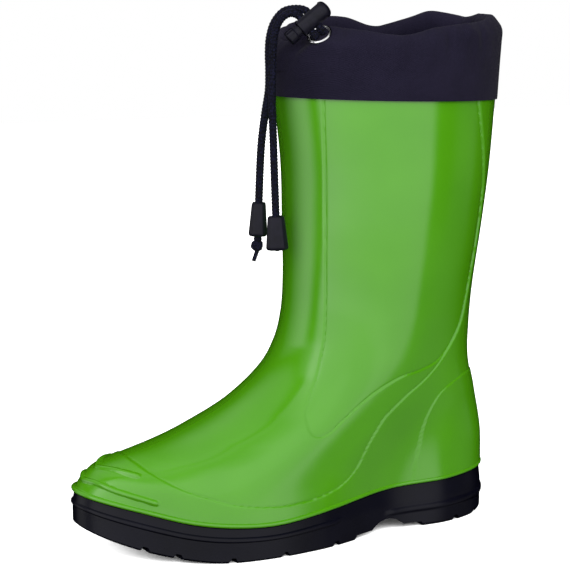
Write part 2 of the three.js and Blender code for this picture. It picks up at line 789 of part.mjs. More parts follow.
function knot_geometry(name, tail, lean) {
  // A single overhand knot, with the cut tail of the cord below it.
  const { foot, up } = strand_end(name);
  const r = knot_diameter / 2;
  const body = lathe([
    [0, -tail - r * 1.7], [0.6, -tail - r * 1.7], [1.0, -r * 1.75], [1.7, -r * 1.6], [r * 0.8, -r * 1.3],
    [r, -r * 0.75], [r * 0.8, -r * 0.2], [cord_diameter / 2, 0], [0, 0], [0, -tail - r * 1.7],
  ], 16);
  const positions = body.attributes.position;
  for (let i = 0; i < positions.count; i += 1) {
    const below = Math.max(-positions.getY(i) - r * 1.6, 0);
    positions.setX(i, positions.getX(i) + below * lean);
  }
  body.applyQuaternion(turn_to(up));
  const top = foot.clone().addScaledVector(up, -gap);
  body.translate(top.x, top.y, top.z);
  return body;
}

function bell_ring(share, height) {
  // A rectangle with cut corners; share scales it from the foot's full size.
  const x = bell_width / 2 * share;
  const y = bell_depth / 2 * share;
  const chamfer = 2.2 * share;
  return [
    [-x, -y + chamfer], [-x + chamfer, -y], [0, -y], [x - chamfer, -y], [x, -y + chamfer],
    [x, 0], [x, y - chamfer], [x - chamfer, y], [0, y], [-x + chamfer, y], [-x, y - chamfer],
    [-x, 0],
  ].map((point) => new THREE.Vector3(point[0], point[1], height));
}

function round_ring(radius, height) {
  return bell_ring(1, height).map((point) => {
    const flat = new THREE.Vector2(point.x, point.y).setLength(radius);
    return new THREE.Vector3(flat.x, flat.y, height);
  });
}

const bell_bore = cord_diameter / 2 + 0.45;
const bell_cup = knot_diameter / 2 + 0.55;
const bell_cup_height = knot_diameter * 0.95 + 0.8;

function bell_geometry(name, lift, turn) {
  // The bell's foot lies lift above the foot of its strand; turn is about the cord.
  const bell = loft([
    bell_ring(0.84, 0), bell_ring(1, 1.4), bell_ring(0.96, 3.5), bell_ring(0.76, bell_height - 1.2),
    bell_ring(0.66, bell_height), round_ring(bell_bore, bell_height),
    round_ring(bell_bore, bell_cup_height + 1), round_ring(bell_cup, bell_cup_height - 0.6),
    round_ring(bell_cup, 0),
  ], { closed: true });
  const { foot, up } = strand_end(name);
  bell.rotateZ(turn);
  bell.applyQuaternion(new THREE.Quaternion().setFromUnitVectors(new THREE.Vector3(0, 0, 1), up));
  const place = foot.clone().addScaledVector(up, lift);
  bell.translate(place.x, place.y, place.z);
  return bell;
}

function locked(geometry) {
  geometry.applyMatrix4(lock_turn);
  return geometry;
}

// ---------------------------------------------------------------- the assembly
add_piece('outsole', outsole_geometry(), navy_pvc);
add_piece('upper_shell', upper_geometry(), green_pvc);
add_piece('textile_lining', lining_geometry(), grey_lining);
add_piece('insole_foam', insole_pad(0, insole_thickness), pale_foam);
add_piece('insole_cover', insole_pad(insole_thickness + gap, insole_cover_thickness), grey_lining);
add_piece('eyelet', turned(eyelet_geometry(), eyelet_axis, eyelet_centre), nickel);
add_piece('eyelet_washer', turned(washer_geometry(), eyelet_axis, eyelet_centre), nickel);
add_piece('cuff', cut(cuff_geometry(), eyelet_cutters()), navy_cloth);
add_piece('drawstring_tunnel', tunnel_cord_geometry(), navy_cord);
add_piece('lock_barrel', locked(barrel_geometry()), black_plastic);
add_piece('lock_plunger', locked(plunger_geometry()), black_plastic);
add_piece('lock_spring', locked(spring_geometry()), steel);
for (const name of ['a', 'b']) {
  add_piece(`drawstring_lead_${name}`, tube(lead_points(name), cord_diameter, strand_sides, 7), navy_cord);
  add_piece(`drawstring_end_${name}`, tube(end_points(name), cord_diameter, strand_sides, 26), navy_cord);
}
add_piece('cord_knot_a', knot_geometry('a', 5, -0.35), navy_cord);
add_piece('cord_knot_b', knot_geometry('b', 1.4, 0), navy_cord);
add_piece('cord_bell_a', bell_geometry('a', 2.6, 1.1), black_plastic);
add_piece('cord_bell_b', bell_geometry('b', -6.6, -0.45), black_plastic);

// The free cord and what is on it hang in front of the boot, so the boot is centred without them.
const on_the_cord = /^(drawstring_(lead|end)|cord_|lock_)/;
const body_box = new THREE.Box3();
boot.children
  .filter((piece) => !on_the_cord.test(piece.name))
  .forEach((piece) => body_box.expandByObject(piece));
const body_middle = body_box.getCenter(new THREE.Vector3());
for (const piece of boot.children) {
  piece.position.set(-body_middle.x, -body_middle.y, -body_box.min.z);
}

export default boot;
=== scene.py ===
import math
import bpy
import numpy as np
from mathutils import Vector, Matrix, kdtree


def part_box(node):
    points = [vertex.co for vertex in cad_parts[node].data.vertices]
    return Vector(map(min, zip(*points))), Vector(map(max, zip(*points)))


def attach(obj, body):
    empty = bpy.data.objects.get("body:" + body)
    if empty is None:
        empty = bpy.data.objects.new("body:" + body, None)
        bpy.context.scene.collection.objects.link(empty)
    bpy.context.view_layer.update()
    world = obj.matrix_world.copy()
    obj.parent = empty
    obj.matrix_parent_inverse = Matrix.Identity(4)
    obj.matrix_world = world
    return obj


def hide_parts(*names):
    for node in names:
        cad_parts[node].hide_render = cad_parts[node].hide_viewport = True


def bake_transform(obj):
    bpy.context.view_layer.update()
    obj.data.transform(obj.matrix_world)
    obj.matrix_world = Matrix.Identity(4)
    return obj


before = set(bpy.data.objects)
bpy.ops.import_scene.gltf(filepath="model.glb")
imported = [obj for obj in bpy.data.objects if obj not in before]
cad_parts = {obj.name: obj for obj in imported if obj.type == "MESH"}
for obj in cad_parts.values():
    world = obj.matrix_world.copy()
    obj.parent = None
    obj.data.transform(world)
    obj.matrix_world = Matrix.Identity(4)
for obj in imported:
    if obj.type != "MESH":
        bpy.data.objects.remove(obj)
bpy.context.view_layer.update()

# ---------------------------------------------------------------- driving dimensions, millimetres
# Toe towards -X, heel towards +X, outer side towards -Y, +Z up: the same frame as the CAD.
SOLE_LENGTH = 235
HEEL_X = 104
TOE_X = HEEL_X - SOLE_LENGTH
WELT_HEIGHT = 24
ANKLE_HEIGHT = 116
SHAFT_HEIGHT = 232
SHAFT_FRONT_X = -10.8
SHAFT_TILT = 0.024
SHELL_WALL = 2.4
WELT_PROUD = 1.3
WELT_TALL = 2.4
GAP = 0.3
SOLE_RIM = 3.6
TRAY_DEPTH = 10
FLOOR_THICKNESS = 2.2
SOLE_FLARE = 0.8
RIB_PROUD = 0.9
TUNNEL_DEPTH = 15
CUFF_HEM_DROP = 1.4
CORD_DIAMETER = 4.2
BELL_HEIGHT = 17.5
MM = 0.001
# The CAD centres the boot on its own outline, so X has an offset from the shape's own origin.
SHIFT = np.array([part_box("outsole")[0][0] / MM - (TOE_X - SOLE_FLARE - RIB_PROUD), 0.0, 0.0])


def to_world(points):
    return (np.asarray(points, float) + SHIFT) * MM


# ---------------------------------------------------------------- camera
CAMERA_PLACE = (-0.3662, -0.7684, 0.2789)
CAMERA_TARGET = (-0.0028, 0.0, 0.1324)
CAMERA_LENS = 102.7
SENSOR_WIDTH = 36
camera_data = bpy.data.cameras.new("camera")
camera_data.lens = CAMERA_LENS
camera_data.sensor_width = SENSOR_WIDTH
camera = bpy.data.objects.new("camera", camera_data)
bpy.context.scene.collection.objects.link(camera)
camera.location = CAMERA_PLACE
look = Vector(CAMERA_TARGET) - camera.location
camera.rotation_euler = look.to_track_quat("-Z", "Y").to_euler()
bpy.context.scene.camera = camera


# ---------------------------------------------------------------- node materials
class Nodes:
    """A short way to wire one material."""

    def __init__(self, name):
        self.material = bpy.data.materials.new(name)
        self.material.use_nodes = True
        self.tree = self.material.node_tree
        self.shader = self.tree.nodes["Principled BSDF"]
        self.coords = self.add("ShaderNodeTexCoord").outputs["Object"]

    def add(self, kind, **inputs):
        node = self.tree.nodes.new(kind)
        for key, value in inputs.items():
            self.feed(node, key.replace("_", " "), value)
        return node

    def feed(self, node, key, value):
        if isinstance(value, bpy.types.NodeSocket):
            self.tree.links.new(value, node.inputs[key])
        else:
            node.inputs[key].default_value = value

    def set(self, **inputs):
        for key, value in inputs.items():
            self.feed(self.shader, key.replace("_", " "), value)

    def noise(self, scale, detail=3.0, roughness=0.5, vector=None):
        node = self.add("ShaderNodeTexNoise", Scale=scale, Detail=detail, Roughness=roughness)
        self.feed(node, "Vector", vector or self.coords)
        return node.outputs["Fac"]

    def ramp(self, value, low, high, start=0.0, end=1.0):
        node = self.add("ShaderNodeValToRGB", Fac=value)
        first, last = node.color_ramp.elements
        first.position = start
        last.position = end
        first.color = low
        last.color = high
        return node.outputs["Color"]

    def span(self, value, low, high):
        node = self.add("ShaderNodeMapRange", Value=value)
        node.inputs["To Min"].default_value = low
        node.inputs["To Max"].default_value = high
        return node.outputs["Result"]

    def bump(self, height, strength, distance, normal=None):
        node = self.add("ShaderNodeBump", Height=height, Strength=strength, Distance=distance)
        if normal:
            self.feed(node, "Normal", normal)
        return node.outputs["Normal"]

    def maths(self, operation, a, b=0.0):
        node = self.tree.nodes.new("ShaderNodeMath")
        node.operation = operation
        for socket, value in zip(node.inputs, (a, b)):
            if isinstance(value, bpy.types.NodeSocket):
                self.tree.links.new(value, socket)
            else:
                socket.default_value = value
        return node.outputs[0]


def rgb(red, green, blue):
    """A linear colour from display values of 0 to 255."""
    def linear(value):
        value /= 255
        return value / 12.92 if value <= 0.04045 else ((value + 0.055) / 1.055) ** 2.4
    return (linear(red), linear(green), linear(blue), 1.0)


def glossy_pvc():
    nodes = Nodes("green_pvc")
    cloud = nodes.noise(22.0, 2.0)
    nodes.set(Base_Color=nodes.ramp(cloud, rgb(67, 138, 6), rgb(73, 145, 12), 0.3, 0.7))
    fine = nodes.noise(900.0, 3.0)
    nodes.set(Roughness=nodes.span(fine, 0.13, 0.2))
    nodes.set(Specular_IOR_Level=0.55, Coat_Weight=0.35, Coat_Roughness=0.06)
    ripple = nodes.noise(60.0, 1.0)
    soft = nodes.bump(ripple, 0.05, 0.002)
    nodes.set(Normal=nodes.bump(fine, 0.05, 0.0002, soft))
    return nodes.material


def navy_rubber():
    nodes = Nodes("navy_pvc")
    cloud = nodes.noise(40.0, 3.0)
    nodes.set(Base_Color=nodes.ramp(cloud, rgb(5, 5, 14), rgb(10, 10, 21), 0.3, 0.7))
    fine = nodes.noise(1500.0, 4.0)
    nodes.set(Roughness=nodes.span(fine, 0.24, 0.36), Specular_IOR_Level=0.2)
    nodes.set(Normal=nodes.bump(fine, 0.12, 0.0004))
    return nodes.material


def woven_cloth(name, low, high, pitch, sheen):
    nodes = Nodes(name)
    axes = nodes.add("ShaderNodeSeparateXYZ", Vector=nodes.coords).outputs
    run = nodes.maths("ADD", axes["X"], nodes.maths("MULTIPLY", axes["Y"], 0.83))
    wave = 2 * math.pi / pitch
    weft = nodes.maths("SINE", nodes.maths("MULTIPLY", axes["Z"], wave))
    warp = nodes.maths("SINE", nodes.maths("MULTIPLY", run, wave))
    weave = nodes.maths("MULTIPLY", weft, warp)
    raised = nodes.span(weave, 0.0, 1.0)
    raised.node.inputs["From Min"].default_value = -1.0
    cloud = nodes.noise(35.0, 3.0)
    thread = nodes.noise(1800.0, 2.0)
    tone = nodes.maths("ADD", nodes.maths("MULTIPLY", cloud, 0.5), nodes.maths("MULTIPLY", thread, 0.5))
    nodes.set(Base_Color=nodes.ramp(tone, low, high, 0.35, 0.65))
    nodes.set(Roughness=0.82, Specular_IOR_Level=0.1, Sheen_Weight=sheen, Sheen_Roughness=0.4)
    wrinkle = nodes.bump(nodes.noise(90.0, 4.0), 0.25, 0.003)
    nodes.set(Normal=nodes.bump(raised, 0.5, 0.0003, wrinkle))
    return nodes.material


def braid():
    nodes = Nodes("navy_cord")
    thread = nodes.noise(1400.0, 2.0)
    nodes.set(Base_Color=nodes.ramp(thread, rgb(6, 6, 10), rgb(22, 23, 46), 0.45, 0.68))
    nodes.set(Roughness=0.7, Specular_IOR_Level=0.12, Sheen_Weight=0.02, Sheen_Roughness=0.4)
    nodes.set(Normal=nodes.bump(thread, 0.5, 0.0004))
    return nodes.material


def moulded_plastic():
    nodes = Nodes("black_plastic")
    cloud = nodes.noise(300.0, 3.0)
    nodes.set(Base_Color=nodes.ramp(cloud, rgb(10, 10, 18), rgb(17, 16, 27), 0.3, 0.7))
    nodes.set(Roughness=nodes.span(nodes.noise(1200.0, 3.0), 0.26, 0.4), Specular_IOR_Level=0.2)
    nodes.set(Normal=nodes.bump(nodes.noise(1500.0, 2.0), 0.1, 0.0002))
    return nodes.material


def plated(name, colour, low, high):
    nodes = Nodes(name)
    scratch = nodes.noise(700.0, 4.0)
    nodes.set(Base_Color=nodes.ramp(scratch, colour, tuple(0.9 * c for c in colour[:3]) + (1.0,)))
    nodes.set(Metallic=1.0, Roughness=nodes.span(scratch, low, high))
    return nodes.material


def foam():
    nodes = Nodes("pale_foam")
    cells = nodes.add("ShaderNodeTexVoronoi", Scale=900.0, Vector=nodes.coords).outputs["Distance"]
    nodes.set(Base_Color=nodes.ramp(cells, rgb(120, 123, 126), rgb(150, 153, 156)))
    nodes.set(Roughness=0.92, Normal=nodes.bump(cells, 0.4, 0.0004))
    return nodes.material


green_pvc = glossy_pvc()
navy_pvc = navy_rubber()
navy_cloth = woven_cloth("navy_cloth", rgb(19, 17, 30), rgb(29, 26, 42), 0.0011, 0.02)
grey_knit = woven_cloth("grey_knit", rgb(96, 99, 104), rgb(128, 131, 136), 0.0016, 0.2)
navy_cord = braid()
black_plastic = moulded_plastic()
nickel = plated("nickel", (0.86, 0.86, 0.88, 1.0), 0.12, 0.24)
steel = plated("spring_steel", (0.62, 0.63, 0.64, 1.0), 0.25, 0.4)
pale_foam = foam()


# ---------------------------------------------------------------- mesh tools
def finish_piece(name, mesh, material, body, sharp=None):
    mesh.materials.append(material)
    mesh.polygons.foreach_set("use_smooth", np.ones(len(mesh.polygons), bool))
    if sharp is not None:
        mesh.set_sharp_from_angle(angle=math.radians(sharp))
    piece = bpy.data.objects.new(name, mesh)
    bpy.context.scene.collection.objects.link(piece)
    if body:
        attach(piece, body)
    return piece


def quad_mesh(name, points, quads):
    """A mesh of points in metres and rows of four indices; a repeated index makes a triangle."""
    quads = np.asarray(quads, np.int32)
    mesh = bpy.data.meshes.new(name)
    mesh.vertices.add(len(points))
    mesh.vertices.foreach_set("co", np.asarray(points, np.float32).ravel())
    mesh.loops.add(quads.size)
    mesh.loops.foreach_set("vertex_index", quads.ravel())
    mesh.polygons.add(len(quads))
    mesh.polygons.foreach_set("loop_start", np.arange(0, quads.size, 4, dtype=np.int32))
    mesh.update(calc_edges=True)
    mesh.validate()
    return mesh


def band_quads(rows, columns, wrap_rows=False):
    """Quads of a stack of closed rings."""
    i = np.arange(rows if wrap_rows else rows - 1)[:, None]
    j = np.arange(columns)[None, :]
    here = i * columns
    there = ((i + 1) % rows) * columns
    k = (j + 1) % columns
    return np.stack([here + j, here + k, there + k, there + j], -1).reshape(-1, 4)


def sheet_quads(rows, columns):
    i = np.arange(rows - 1)[:, None] * columns
    j = np.arange(columns - 1)[None, :]
    return np.stack([i + j, i + j + 1, i + columns + j + 1, i + columns + j], -1).reshape(-1, 4)


def ladder_quads(start, columns, flip):
    """A cap that pairs the outer points of a ring with its inner ones."""
    j = np.arange(columns // 2)
    mate = (columns - j) % columns
    next_mate = columns - j - 1
    quads = np.stack([j, j + 1, next_mate, mate], -1) + start
    return quads[1:-1, ::-1] if flip else quads[1:-1]


def smoothstep(x, low, high):
    t = np.clip((x - low) / (high - low), 0, 1)
    return t * t * (3 - 2 * t)


def mix(a, b, t):
    return a + (b - a) * t


def smooth(knots, values, at):
    """A smooth curve through the values, with straight-line slopes at both ends."""
    knots = np.asarray(knots, float)
    values = np.asarray(values, float)
    at = np.clip(at, knots[0], knots[-1])
    count = len(knots)
    ahead = np.minimum(np.arange(count) + 1, count - 1)
    behind = np.maximum(np.arange(count) - 1, 0)
    spread = (knots[ahead] - knots[behind]).reshape((-1,) + (1,) * (values.ndim - 1))
    slope = (values[ahead] - values[behind]) / spread
    i = np.clip(np.searchsorted(knots, at, side="left") - 1, 0, count - 2)
    step = knots[i + 1] - knots[i]
    t = (at - knots[i]) / step
    pick = (i,) if values.ndim == 1 else (i, np.arange(values.shape[1]))
    pick_next = (i + 1,) + pick[1:]
    a, b = values[pick], values[pick_next]
    rise = b - a
    bend_in = slope[pick] * step - rise
    bend_out = rise - slope[pick_next] * step
    return a + t * rise + t * (1 - t) * ((1 - t) * bend_in + t * bend_out)


def smooth_path(points, count):
    """Evenly spaced points on a smooth curve through the given ones."""
    points = np.asarray(points, float)
    chord = np.concatenate([[0], np.cumsum(np.linalg.norm(np.diff(points, axis=0), axis=1))])
    fine = np.linspace(0, chord[-1], count * 6)
    dense = np.stack([smooth(chord, points[:, axis], fine) for axis in range(points.shape[1])], -1)
    run = np.concatenate([[0], np.cumsum(np.linalg.norm(np.diff(dense, axis=0), axis=1))])
    even = np.linspace(0, run[-1], count)
    return np.stack([np.interp(even, run, dense[:, axis]) for axis in range(points.shape[1])], -1)


def path_frames(path):
    """Tangents, and sides that turn as little as they can along the path."""
    tangents = np.gradient(path, axis=0)
    tangents /= np.linalg.norm(tangents, axis=1, keepdims=True)
    side = np.cross(tangents[0], [0.31, 0.87, 0.38])
    sides = []
    for tangent in tangents:
        side = side - tangent * side.dot(tangent)
        side /= np.linalg.norm(side)
        sides.append(side)
    sides = np.array(sides)
    return tangents, sides, np.cross(tangents, sides)


def swept(path, radius, around):
    """A tube with closed ends; radius is a function of (length along, angle)."""
    path = np.asarray(path, float)
    tangents, sides, ups = path_frames(path)
    run = np.concatenate([[0], np.cumsum(np.linalg.norm(np.diff(path, axis=0), axis=1))])
    angles = np.arange(around) / around * 2 * math.pi
    reach = radius(run[:, None], angles[None, :])
    ring = (np.cos(angles)[None, :, None] * sides[:, None] + np.sin(angles)[None, :, None] * ups[:, None])
    points = (path[:, None] + ring * reach[..., None]).reshape(-1, 3)
    rows = len(path)
    ends = np.array([path[0], path[-1]])
    quads = band_quads(rows, around)
    j = np.arange(around)
    k = (j + 1) % around
    start, stop = rows * around, rows * around + 1
    last = (rows - 1) * around
    cap_a = np.stack([k, j, np.full(around, start)], -1)
    cap_b = np.stack([last + j, last + k, np.full(around, stop)], -1)
    return np.concatenate([points, ends]), quads, np.concatenate([cap_a, cap_b])


def mixed_mesh(name, parts):
    """One mesh from (points in metres, quads, triangles) parts."""
    points, faces, offset = [], [], 0
    for part_points, quads, triangles in parts:
        points.append(part_points)
        faces += (np.asarray(quads) + offset).tolist() if len(quads) else []
        faces += (np.asarray(triangles) + offset).tolist() if len(triangles) else []
        offset += len(part_points)
    mesh = bpy.data.meshes.new(name)
    mesh.from_pydata(np.concatenate(points).tolist(), [], faces)
    mesh.update()
    return mesh


def braided(run, angle, diameter=CORD_DIAMETER):
    """The radius of a round braid: two sets of strands that cross in diamonds."""
    carriers = 4
    pitch = 7
    turn = 2 * math.pi * run / pitch
    one = np.cos(carriers * angle + turn * carriers / 2)
    other = np.cos(carriers * angle - turn * carriers / 2)
    return diameter / 2 * (0.95 + 0.1 * one * other)


# ---------------------------------------------------------------- cords
# The strands' middle lines, in metres: the CAD's up to the lock, and within 2.5 mm of them beyond.
# Both leave the drawstring tunnel through the eyelet, cross the lock, lean over the rim and hang
# in front of the shaft.
SHIFT_M = Vector((SHIFT[0] * MM, 0, 0))
STRANDS = {
    "a": [
        (0.00274, -0.02979, 0.25975), (-0.00106, -0.02343, 0.26193), (-0.00214, -0.02422, 0.26341),
        (-0.00312, -0.02494, 0.26474), (-0.00399, -0.02557, 0.26593), (-0.00566, -0.02481, 0.26821),
        (-0.00827, -0.02288, 0.27188), (-0.0112, -0.02071, 0.27599), (-0.0160, -0.0172, 0.2768),
        (-0.0203, -0.0133, 0.2752), (-0.0236, -0.0098, 0.2697), (-0.0250, -0.0076, 0.2625),
        (-0.0251, -0.0065, 0.2550), (-0.0246, -0.0058, 0.2460), (-0.0244, -0.0049, 0.2360),
        (-0.0253, -0.0036, 0.2270), (-0.0261, -0.0020, 0.2180), (-0.0267, -0.0005, 0.2076),
        (-0.0270, 0.0005, 0.1960), (-0.0273, 0.0010, 0.1840), (-0.0276, 0.0013, 0.1720),
        (-0.0280, 0.0015, 0.1570),
    ],
    "b": [
        (-0.00719, -0.01583, 0.25449), (-0.00486, -0.02269, 0.25954), (-0.00594, -0.02349, 0.26102),
        (-0.00692, -0.0242, 0.26235), (-0.00779, -0.02484, 0.26353), (-0.0090, -0.02379, 0.26529),
        (-0.01161, -0.02185, 0.26896), (-0.01454, -0.01988, 0.27338), (-0.0190, -0.0190, 0.2748),
        (-0.0230, -0.0171, 0.2722), (-0.0252, -0.0150, 0.2665), (-0.0258, -0.0133, 0.2580),
        (-0.0257, -0.0122, 0.2470), (-0.0256, -0.0114, 0.2360), (-0.0254, -0.0111, 0.2260),
        (-0.0248, -0.0108, 0.2150), (-0.0242, -0.0106, 0.2000), (-0.0236, -0.0104, 0.1860),
        (-0.0230, -0.0103, 0.1720), (-0.0224, -0.0102, 0.1600),
    ],
}
LOCK_ENTRY = 5                      # the route's first point inside the lock's reach
strands = {}
for key, route in STRANDS.items():
    placed = np.array([tuple(Vector(point) + SHIFT_M) for point in route])
    path = smooth_path(placed / MM, 620)
    points, quads, caps = swept(path, braided, 30)
    mesh = mixed_mesh("strand_" + key, [(points * MM, quads, caps)])
    strand = finish_piece("strand_" + key, mesh, navy_cord, None)
    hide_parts("drawstring_lead_" + key, "drawstring_end_" + key)
    length = float(np.linalg.norm(np.diff(path, axis=0), axis=1).sum()) * MM
    strands[key] = {
        "piece": strand, "length": length, "path": [tuple(point * MM) for point in path[::12]],
        "exit": tuple(placed[0]), "start": tuple(placed[1]), "end": tuple(placed[LOCK_ENTRY]),
        "foot": placed[-1], "up": placed[-2] - placed[-1],
    }


# ---------------------------------------------------------------- the form of the upper
# Levels: 0 at the welt, 1 at the ankle, 2 at the shell's top. Stations: 0 front, 1 back.
FRONT_LEVELS = [0, 0.087, 0.174, 0.283, 0.391, 0.522, 0.674, 0.826, 1, 1.164, 1.38, 1.68, 2]
FRONT_REACH = [0, 0.04, 0.105, 0.264, 0.475, 0.71, 0.878, 0.957, 0.993, 1.004, 1.003, 0.997, 0.962]
BACK_LEVELS = [0, 0.228, 0.5, 0.717, 0.935, 1.12, 1.38, 1.68, 2]
BACK_LEAN = [0, -0.8, -5.7, -10.5, -10.2, -8.3, -4.1, 0.3, 3.4]
WELT_SHARES = [0, 0.15, 0.3, 0.45, 0.6, 0.7, 0.8, 0.9, 1]
WELT_RISE = [2.6, 0.6, -0.6, -3.2, -6.6, -5.8, -2.9, 3.4, 9.6]
SECTION_LEVELS = [0, 0.228, 0.5, 0.772, 1.078, 1.466, 2]
LATERAL_WIDTHS = [
    [16.5, 31.5, 46.5, 45.5, 33.5, 33, 22.3],
    [17.5, 33.5, 45, 43, 35, 32.5, 21.5],
    [18.5, 34, 42.5, 41.5, 37, 31, 19],
    [17.5, 32.5, 41.5, 43, 38.5, 31, 18.5],
    [17, 31.5, 42, 45, 41, 32, 17.5],
    [18.5, 34.5, 45, 48.5, 44.5, 34.5, 18.5],
    [19.5, 36, 47, 51, 47, 36, 19.5],
]
MEDIAL_WIDTHS = [
    [19, 34, 38.5, 31.5, 28.5, 30.5, 21.5],
    [19.5, 34.5, 39, 34.5, 32, 30.5, 21],
    [18.5, 33.5, 39.5, 38, 34.5, 30, 19],
    [17.5, 32, 40, 41, 37.5, 30.5, 18.5],
    [17, 31.5, 42, 45, 41, 32, 17.5],
    [18.5, 34.5, 45, 48.5, 44.5, 34.5, 18.5],
    [19.5, 36, 47, 51, 47, 36, 19.5],
]


def half_width(level, station, side):
    knots = [-0.125] + [k / 8 for k in range(9)] + [1.125]
    widths = []
    for table in (LATERAL_WIDTHS, MEDIAL_WIDTHS):
        rows = []
        for row in table:
            half = [0, *row, 0]
            rows.append(smooth(knots, [-half[1], *half, -half[7]], station))
        widths.append(smooth(SECTION_LEVELS, np.array(rows), level))
    return np.where(side < 0, widths[0], widths[1])


def length_share(x):
    return np.clip((HEEL_X - x) / SOLE_LENGTH, 0, 1)


def welt_z(x):
    return WELT_HEIGHT + smooth(WELT_SHARES, WELT_RISE, length_share(x))


def shell_points(level, station, side):
    level, station, side = np.broadcast_arrays(level, station, side)
    shape = level.shape
    level, station, side = level.ravel(), station.ravel(), side.ravel()
    run = (1 - np.cos(math.pi * station)) / 2
    front = mix(TOE_X, SHAFT_FRONT_X, smooth(FRONT_LEVELS, FRONT_REACH, level))
    back = HEEL_X + smooth(BACK_LEVELS, BACK_LEAN, level)
    x = mix(front, back, run)
    middle = (mix(TOE_X, SHAFT_FRONT_X, FRONT_REACH[-1]) + HEEL_X + BACK_LEAN[-1]) / 2
    nominal = np.where(
        level < 1,
        mix(WELT_HEIGHT, ANKLE_HEIGHT, level),
        mix(ANKLE_HEIGHT, SHAFT_HEIGHT, level - 1),
    )
    fade = smoothstep(0.826 - level, 0, 0.826)
    tilt = SHAFT_TILT * (x - middle) * (level / 2) ** 2
    z = nominal + fade * (welt_z(x) - WELT_HEIGHT) - tilt
    y = side * half_width(level, station, side)
    return np.stack([x, y, z], -1).reshape(shape + (3,))


def ring_places(half_count):
    """Stations and sides round a ring: front, outer side, back, inner side."""
    out = np.arange(half_count + 1) / half_count
    back = np.arange(half_count - 1, 0, -1) / half_count
    station = np.concatenate([out, back])
    side = np.concatenate([np.full(half_count + 1, -1.0), np.full(half_count - 1, 1.0)])
    return station, side


def skin(levels, half_count):
    station, side = ring_places(half_count)
    return shell_points(np.asarray(levels, float)[:, None], station[None, :], side[None, :])


def skin_normals(points):
    rise = np.gradient(points, axis=0)
    around = np.roll(points, -1, axis=1) - np.roll(points, 1, axis=1)
    normals = np.cross(around, rise)
    return normals / np.linalg.norm(normals, axis=2, keepdims=True)


def plan_inset(ring, distance):
    """Moves a ring inwards in plan; a negative distance moves it outwards."""
    run = np.roll(ring, -1, axis=0) - np.roll(ring, 1, axis=0)
    run = run[:, :2] / np.linalg.norm(run[:, :2], axis=1, keepdims=True)
    moved = ring.copy()
    moved[:, 0] -= run[:, 1] * distance
    moved[:, 1] += run[:, 0] * distance
    return moved


def raised_to(ring, heights):
    moved = ring.copy()
    moved[:, 2] = heights
    return moved


# ---------------------------------------------------------------- moulded lines of the upper
# Each line is a list of (station, level) places, the same on both sides of the boot.
SWOOSH = [
    (0.655, 2.08), (0.70, 1.87), (0.735, 1.72), (0.765, 1.55), (0.773, 1.33), (0.757, 1.12),
    (0.731, 0.955), (0.688, 0.843), (0.634, 0.722), (0.587, 0.634), (0.546, 0.56), (0.524, 0.467),
    (0.53, 0.374), (0.543, 0.254), (0.541, 0.165), (0.52, 0.112), (0.485, 0.092), (0.445, 0.095),
    (0.4, 0.107), (0.35, 0.123), (0.308, 0.147), (0.253, 0.176), (0.2, 0.203), (0.15, 0.226),
    (0.083, 0.25), (0.0, 0.262),
]
PANEL = [
    (0.192, 2.08), (0.174, 1.67), (0.179, 1.33), (0.184, 1.186), (0.205, 0.848), (0.216, 0.752),
    (0.238, 0.636), (0.272, 0.545), (0.31, 0.49), (0.36, 0.432), (0.392, 0.411), (0.405, 0.43),
    (0.405, 0.47), (0.412, 0.534), (0.437, 0.607), (0.496, 0.676), (0.572, 0.707), (0.631, 0.745),
    (0.688, 0.843),
]
COUNTER = [
    (1.0, 0.612), (0.88, 0.616), (0.781, 0.621), (0.698, 0.581), (0.661, 0.527), (0.651, 0.445),
    (0.655, 0.356), (0.667, 0.238), (0.672, 0.082), (0.672, -0.05),
]
TOE_RIBS = [
    [(0.0, 0.168), (0.073, 0.19), (0.143, 0.194)],
    [(0.0, 0.083), (0.07, 0.096), (0.139, 0.087), (0.189, 0.082), (0.227, 0.078)],
]
PANEL_JOIN = (0.688, 0.843)         # where the panel's line meets the swoosh
FAR = 1e9
BAND_RISE = 0.45
PANEL_FALL = 0.4
COUNTER_RISE = 0.45
EDGE_WIDTH = 0.8
CREASE_DEPTH = 0.28
CREASE_HALF_WIDTH = 0.55
RIB_HALF_WIDTH = 1.5
RIB_HEIGHT = 1.15


def line_tree(places):
    """A search tree of points on the shell along a moulded line, on both sides."""
    dense = smooth_path(np.asarray(places) * [240, 110], 500) / [240, 110]
    points = [shell_points(dense[:, 1], np.abs(dense[:, 0]), side) for side in (-1.0, 1.0)]
    points = np.concatenate(points)
    tree = kdtree.KDTree(len(points))
    for i, point in enumerate(points):
        tree.insert(point, i)
    tree.balance()
    return tree, dense


def distances(tree, points):
    return np.array([tree.find(point)[2] for point in points])


def inside(outline, station, level):
    within = np.zeros(station.shape, bool)
    for (s0, l0), (s1, l1) in zip(outline, np.roll(outline, -1, axis=0)):
        if l0 == l1:
            continue
        crosses = (l0 > level) != (l1 > level)
        within ^= crosses & (station < (s1 - s0) * (level - l0) / (l1 - l0) + s0)
    return within


